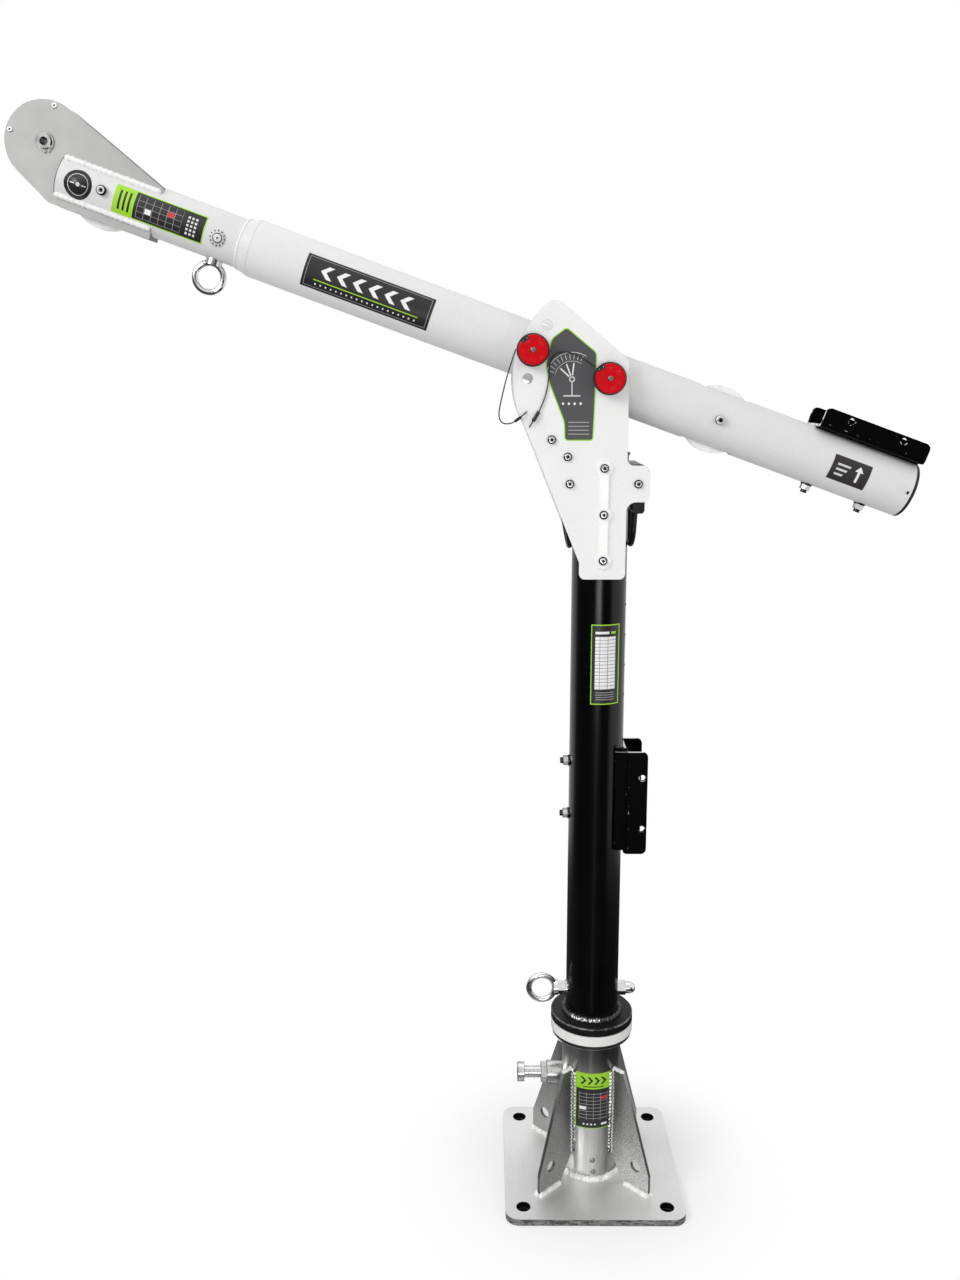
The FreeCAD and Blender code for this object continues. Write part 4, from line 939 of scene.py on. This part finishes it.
# Painted shade: the front tube's coat is darker than the boom's, and its open end near black.
dress(powder_coat("front_white_coat_painted_darker", 0.69, 0.92, 520.0,
                  lambda place: place.seen_from(pivot, boom_tilt).axes()[0] < boom_front + 0.001),
      "boom_front_tube", "boom_step_collar")


def on_boom(u, y, v):
    """A place on the boom: along its axis from the pivot, across, and up from the axis."""
    cos, sin = math.cos(math.radians(boom_tilt)), math.sin(math.radians(boom_tilt))
    return pivot + Vector((u * cos + v * sin, y, v * cos - u * sin))


def boom_ring(u, radius):
    return lambda share: on_boom(u, radius * math.cos(share * math.tau), radius * math.sin(share * math.tau))


def boom_run(start, stop, y, v):
    return lambda share: on_boom(start + (stop - start) * share, y, v)


white_bead = powder_coat("coated_bead", 0.84, 0.9, 420.0)
step_u = -0.6006
step_weld = weld("boom_step_weld", [boom_ring(step_u, front_r + 0.0002)], 0.0042, 0.006, True, 23)
plate_out = 0.026
seam_front, seam_rear = -0.8885, -0.736
seam_v = math.sqrt(front_r ** 2 - plate_out ** 2) + 0.0006
tip_runs = [boom_run(seam_front, seam_rear, side * (plate_out + 0.0006), up * seam_v)
            for side in (-1, 1) for up in (-1, 1)]
tip_weld = weld("tip_plate_welds", tip_runs, 0.0094, 0.0084, seed=29, relief=0.8)
for bead in (step_weld, tip_weld):
    bead.data.materials.append(white_bead)
    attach(bead, "boom")

screw_u, screw_v = 0.502, -0.004
cap_way = on_boom(0.0, -boom_r, screw_v) - on_boom(0.0, 0.0, 0.0)
cap_spot = on_boom(screw_u, -math.sqrt(boom_r ** 2 - screw_v ** 2) + 0.0002, screw_v)
cap_screw = round_head("end_cap_screw", 0.003, 0.0013, cap_spot, cap_way, 0.0007)
cap_screw.data.materials.append(zinc)
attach(cap_screw, "boom")


# The boom's winch bracket, its bolts and the two sheave bolts are of the same make as the mast's:
# a chipped black channel, and bright plated bolts, washers and nuts.
rear_u = 0.185
tip_u = -0.818
head_u, head_v = -0.924, 0.039
boom_pin_holes = ((0.384384, 1.311227), (0.467077, 1.281129))
boom_bracket_end = 0.3355
button_r = 0.008
dress(worn_bracket("boom_bracket_coat", boom_pin_holes, pivot, boom_tilt, boom_bracket_end),
      "boom_winch_bracket")
dress(washer_bolts("boom_bracket_bolt_steel", pivot, boom_tilt, boom_r), "boom_bracket_bolts")
dress(zinc, "tip_axle")
for name, u, socket_r, rim_r in (("rear_axle", rear_u, 0.0034, 0.0073),
                                 ("tip_sheave_bolt", tip_u, 0.0026, 0.0058)):
    button, shader, place, clouds, tone = plated(name + "_steel", 0.66, 0.88, 160.0, 0.6)
    across, depth, up = place.seen_from(on_boom(u, 0.0, 0.0)).axes()
    out = across.hypot(up)
    # Painted shade: a dark socket and a dark ring round each head.
    dark = ((out < socket_r) | out.within(rim_r, button_r)) * (abs(depth) > front_r)
    paint(shader, dark.blend(tone, grey(0.02)), 0.22 + clouds * 0.2)
    dress(button, name)


# The tip is a pair of 5 mm aluminium plates let into slots in the front tube and welded there. They
# were blasted to an even fine grey, with a brighter line where the laser cut edge catches light.
tip_thick = 0.005
tip_arris = 0.0003
tip_grey, shader, place = surface("blasted_tip_plate", {"Metallic": 0.35})
grain = place.noise(1500.0, 3.0, 0.7)
clouds = place.noise(20.0, 4.0)
cut = abs(place.axes()[1]).within(plate_out - tip_thick + tip_arris, plate_out - tip_arris)
tone = (grain * 0.7 + clouds * 0.3).ramp(0.32, 0.68).blend(grey(0.35, 0.345), grey(0.47, 0.46))
paint(shader, cut.blend(tone, grey(0.66, 0.65)), 0.44 + grain * 0.16, grain, 0.00006, 0.5)
dress(tip_grey, "tip_plate_near", "tip_plate_far")

keeper_steel, shader, place = surface("socket_keeper_steel", bare_metal)
keeper_out = 0.0545
keeper_face = 0.0266
keeper_socket_shade_r = 0.0017
tone = grey(0.7, 0.69)
# Painted shade: a dark socket in each keeper's head.
for turn in (math.radians(91.0), math.radians(181.0)):
    spot = on_boom(head_u + keeper_out * math.cos(turn), 0.0, head_v + keeper_out * math.sin(turn))
    x, y, z = place.seen_from(spot).axes()
    tone = ((x.hypot(z) < keeper_socket_shade_r) * (abs(y) > keeper_face)).blend(tone, grey(0.02))
paint(shader, tone, 0.24 + place.noise(300.0, 2.0) * 0.2)
dress(keeper_steel, "tip_keepers")


# The three rope sheaves are turned from natural white nylon, with a round groove, a thin web and
# a hub. They are smooth and a little waxy, with tool rings on their sides.
for name, u, v in (("head_sheave", head_u, head_v), ("tip_sheave", tip_u, 0.0), ("rear_sheave", rear_u, 0.0)):
    nylon, shader, place = surface(name + "_nylon")
    across, _, up = place.seen_from(on_boom(u, 0.0, v)).axes()
    rings = (across.hypot(up) * 2600.0).math("SINE")
    grime = place.noise(70.0, 4.0, 0.6)
    tone = grime.ramp(0.56, 0.75).blend(grey(0.93, 0.92), grey(0.74, 0.72))
    # Painted shade: a dark line along the sharp edges.
    tone = (edge_mask(place, 0.001, 0.85) * 0.8).blend(tone, grey(0.16))
    paint(shader, tone, 0.36 + grime * 0.16, rings * 0.4 + grime, 0.00005, 0.5)
    dress(nylon, name)


# Five printed vinyl labels lie on the boom's near side: a round badge and a lime and charcoal panel by
# the tip, a black ring mark, a long charcoal panel before the head, and an arrow by the winch bracket.
def on_boom_sheet(name, radius, start, stop, low, high):
    """A label on the boom's near side, between two places along it and two heights from its axis."""
    sheet = bent_sheet(name, radius, -stop, -start, low, high)
    keep_at(sheet, Matrix.Translation(pivot) @ Matrix.Rotation(math.radians(boom_tilt - 90.0), 4, "Y"))
    return sheet


def cut_round(sheet, u, v, radius):
    """Trims a label to a disc by cutting it with a round punch."""
    punch = fresh("punch", bpy.ops.mesh.primitive_cylinder_add, vertices=72, radius=radius, depth=0.06)
    settle(punch, on_boom(u, -0.045, v), (0, -1, 0))
    trim = sheet.modifiers.new("trim", "BOOLEAN")
    trim.operation = "INTERSECT"
    trim.object = punch
    trim.solver = "EXACT"
    alone(sheet)
    bpy.ops.object.modifier_apply(modifier=trim.name)
    bpy.data.objects.remove(punch)


badge_spot = (-0.8548, -0.0039)
badge = on_boom_sheet("tip_badge", front_r, -0.88, -0.83, -0.03, 0.0225)
cut_round(badge, *badge_spot, 0.0215)
vinyl, across, _, up = vinyl_at("tip_badge_vinyl", on_boom(badge_spot[0], 0.0, badge_spot[1]), boom_tilt)
radius = across.hypot(up)
bar = box(across, up, -0.0125, 0.0125, -0.0008, 0.0008) * (abs(across) > 0.0055)
marks = radius.within(0.015, 0.016) | (radius < 0.003) | bar
print_on(badge, vinyl, marks.blend(charcoal, grey(0.62)))

tip_panel = on_boom_sheet("tip_panel", front_r, -0.7987, -0.655, -0.0235, 0.018)
vinyl, across, _, up = vinyl_at("tip_panel_vinyl", on_boom(-0.72685, 0.0, -0.00275), boom_tilt)
grid = box(across, up, -0.0345, 0.036, -0.0165, 0.0165) * ((across + 0.0345) % 0.0117 < 0.0007)
grid = grid | box(across, up, -0.0345, 0.036, -0.0165, 0.0168) * ((up + 0.0165) % 0.0083 < 0.0005)
squares = box(across, up, 0.044, 0.062, -0.015, 0.015)
squares = squares * ((across - 0.044) % 0.006 < 0.0034) * ((up + 0.015) % 0.006 < 0.0034)
slats = box(across, up, -0.064, -0.045, -0.0145, 0.0145) * ((across + 0.064) % 0.0075 < 0.0034)
print_on(
    tip_panel, vinyl, (across < -0.0395).blend(charcoal, lime),
    (grid, grey(0.34)),
    (box(across, up, -0.0215, -0.012, -0.0077, -0.0003), label_white),
    (box(across, up, 0.0135, 0.0235, 0.0005, 0.0079), label_red),
    (squares, grey(0.7)),
    (slats, charcoal),
    ((abs(across) > 0.0704) | (abs(up) > 0.0194), lime)
)

mark_spot = (-0.633, -0.0064)
ring_mark = on_boom_sheet("boom_ring_mark", front_r, -0.6475, -0.6185, -0.0215, 0.0085)
cut_round(ring_mark, *mark_spot, 0.0136)
vinyl, across, _, up = vinyl_at("ring_mark_vinyl", on_boom(mark_spot[0], 0.0, mark_spot[1]), boom_tilt,
                                {"IOR": 1.45})
turn = up.math("ARCTAN2", across)
radius = across.hypot(up)
teeth = radius.within(0.0098, 0.0122) * (turn % (math.tau / 12) < 0.2)
marks = radius.within(0.0062, 0.0078) | (radius < 0.0016) | teeth
print_on(ring_mark, vinyl, marks.blend(grey(0.67, 0.665), grey(0.03)))

long_panel = on_boom_sheet("boom_long_panel", boom_r, -0.494, -0.289, -0.028, 0.021)
vinyl, across, _, up = vinyl_at("long_panel_vinyl", on_boom(-0.3915, 0.0, -0.0035), boom_tilt)
rise = abs(up - 0.0045)
bent = across - rise * 1.1
chevrons = (rise < 0.0098) * bent.within(-0.0765, 0.076) * (bent % 0.0255 < 0.0088)
frame_line = (abs(across) < 0.0985) * (abs(up) < 0.022) * ((abs(across) > 0.0977) | (abs(up) > 0.0213))
print_on(
    long_panel, vinyl, charcoal,
    (chevrons | dot_row(across, up, -0.084, 0.084, -0.0165, 0.0084, 0.0013), label_white),
    (box(across, up, -0.084, 0.084, -0.0115, -0.01), lime),
    (frame_line, grey(0.3))
)

arrow_panel = on_boom_sheet("boom_arrow_panel", boom_r, 0.3745, 0.4365, -0.025, 0.014)
vinyl, across, _, up = vinyl_at("arrow_panel_vinyl", on_boom(0.4055, 0.0, -0.0055), boom_tilt)
aside = across - 0.0135
shaft = box(aside, up, -0.002, 0.002, -0.0125, 0.005)
point = up.within(0.004, 0.013) * (abs(aside) < (0.013 - up) * 0.78)
steps = box(across, up, -0.023, -0.001, -0.011, 0.011) * ((up + 0.011) % 0.0078 < 0.0034)
steps = steps * (across < up * 0.5 - 0.0045)
print_on(arrow_panel, vinyl, (0.034, 0.03, 0.033, 1.0), (shaft | point, label_white), (steps, grey(0.62)))
for piece in (badge, tip_panel, ring_mark, long_panel, arrow_panel):
    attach(piece, "boom")
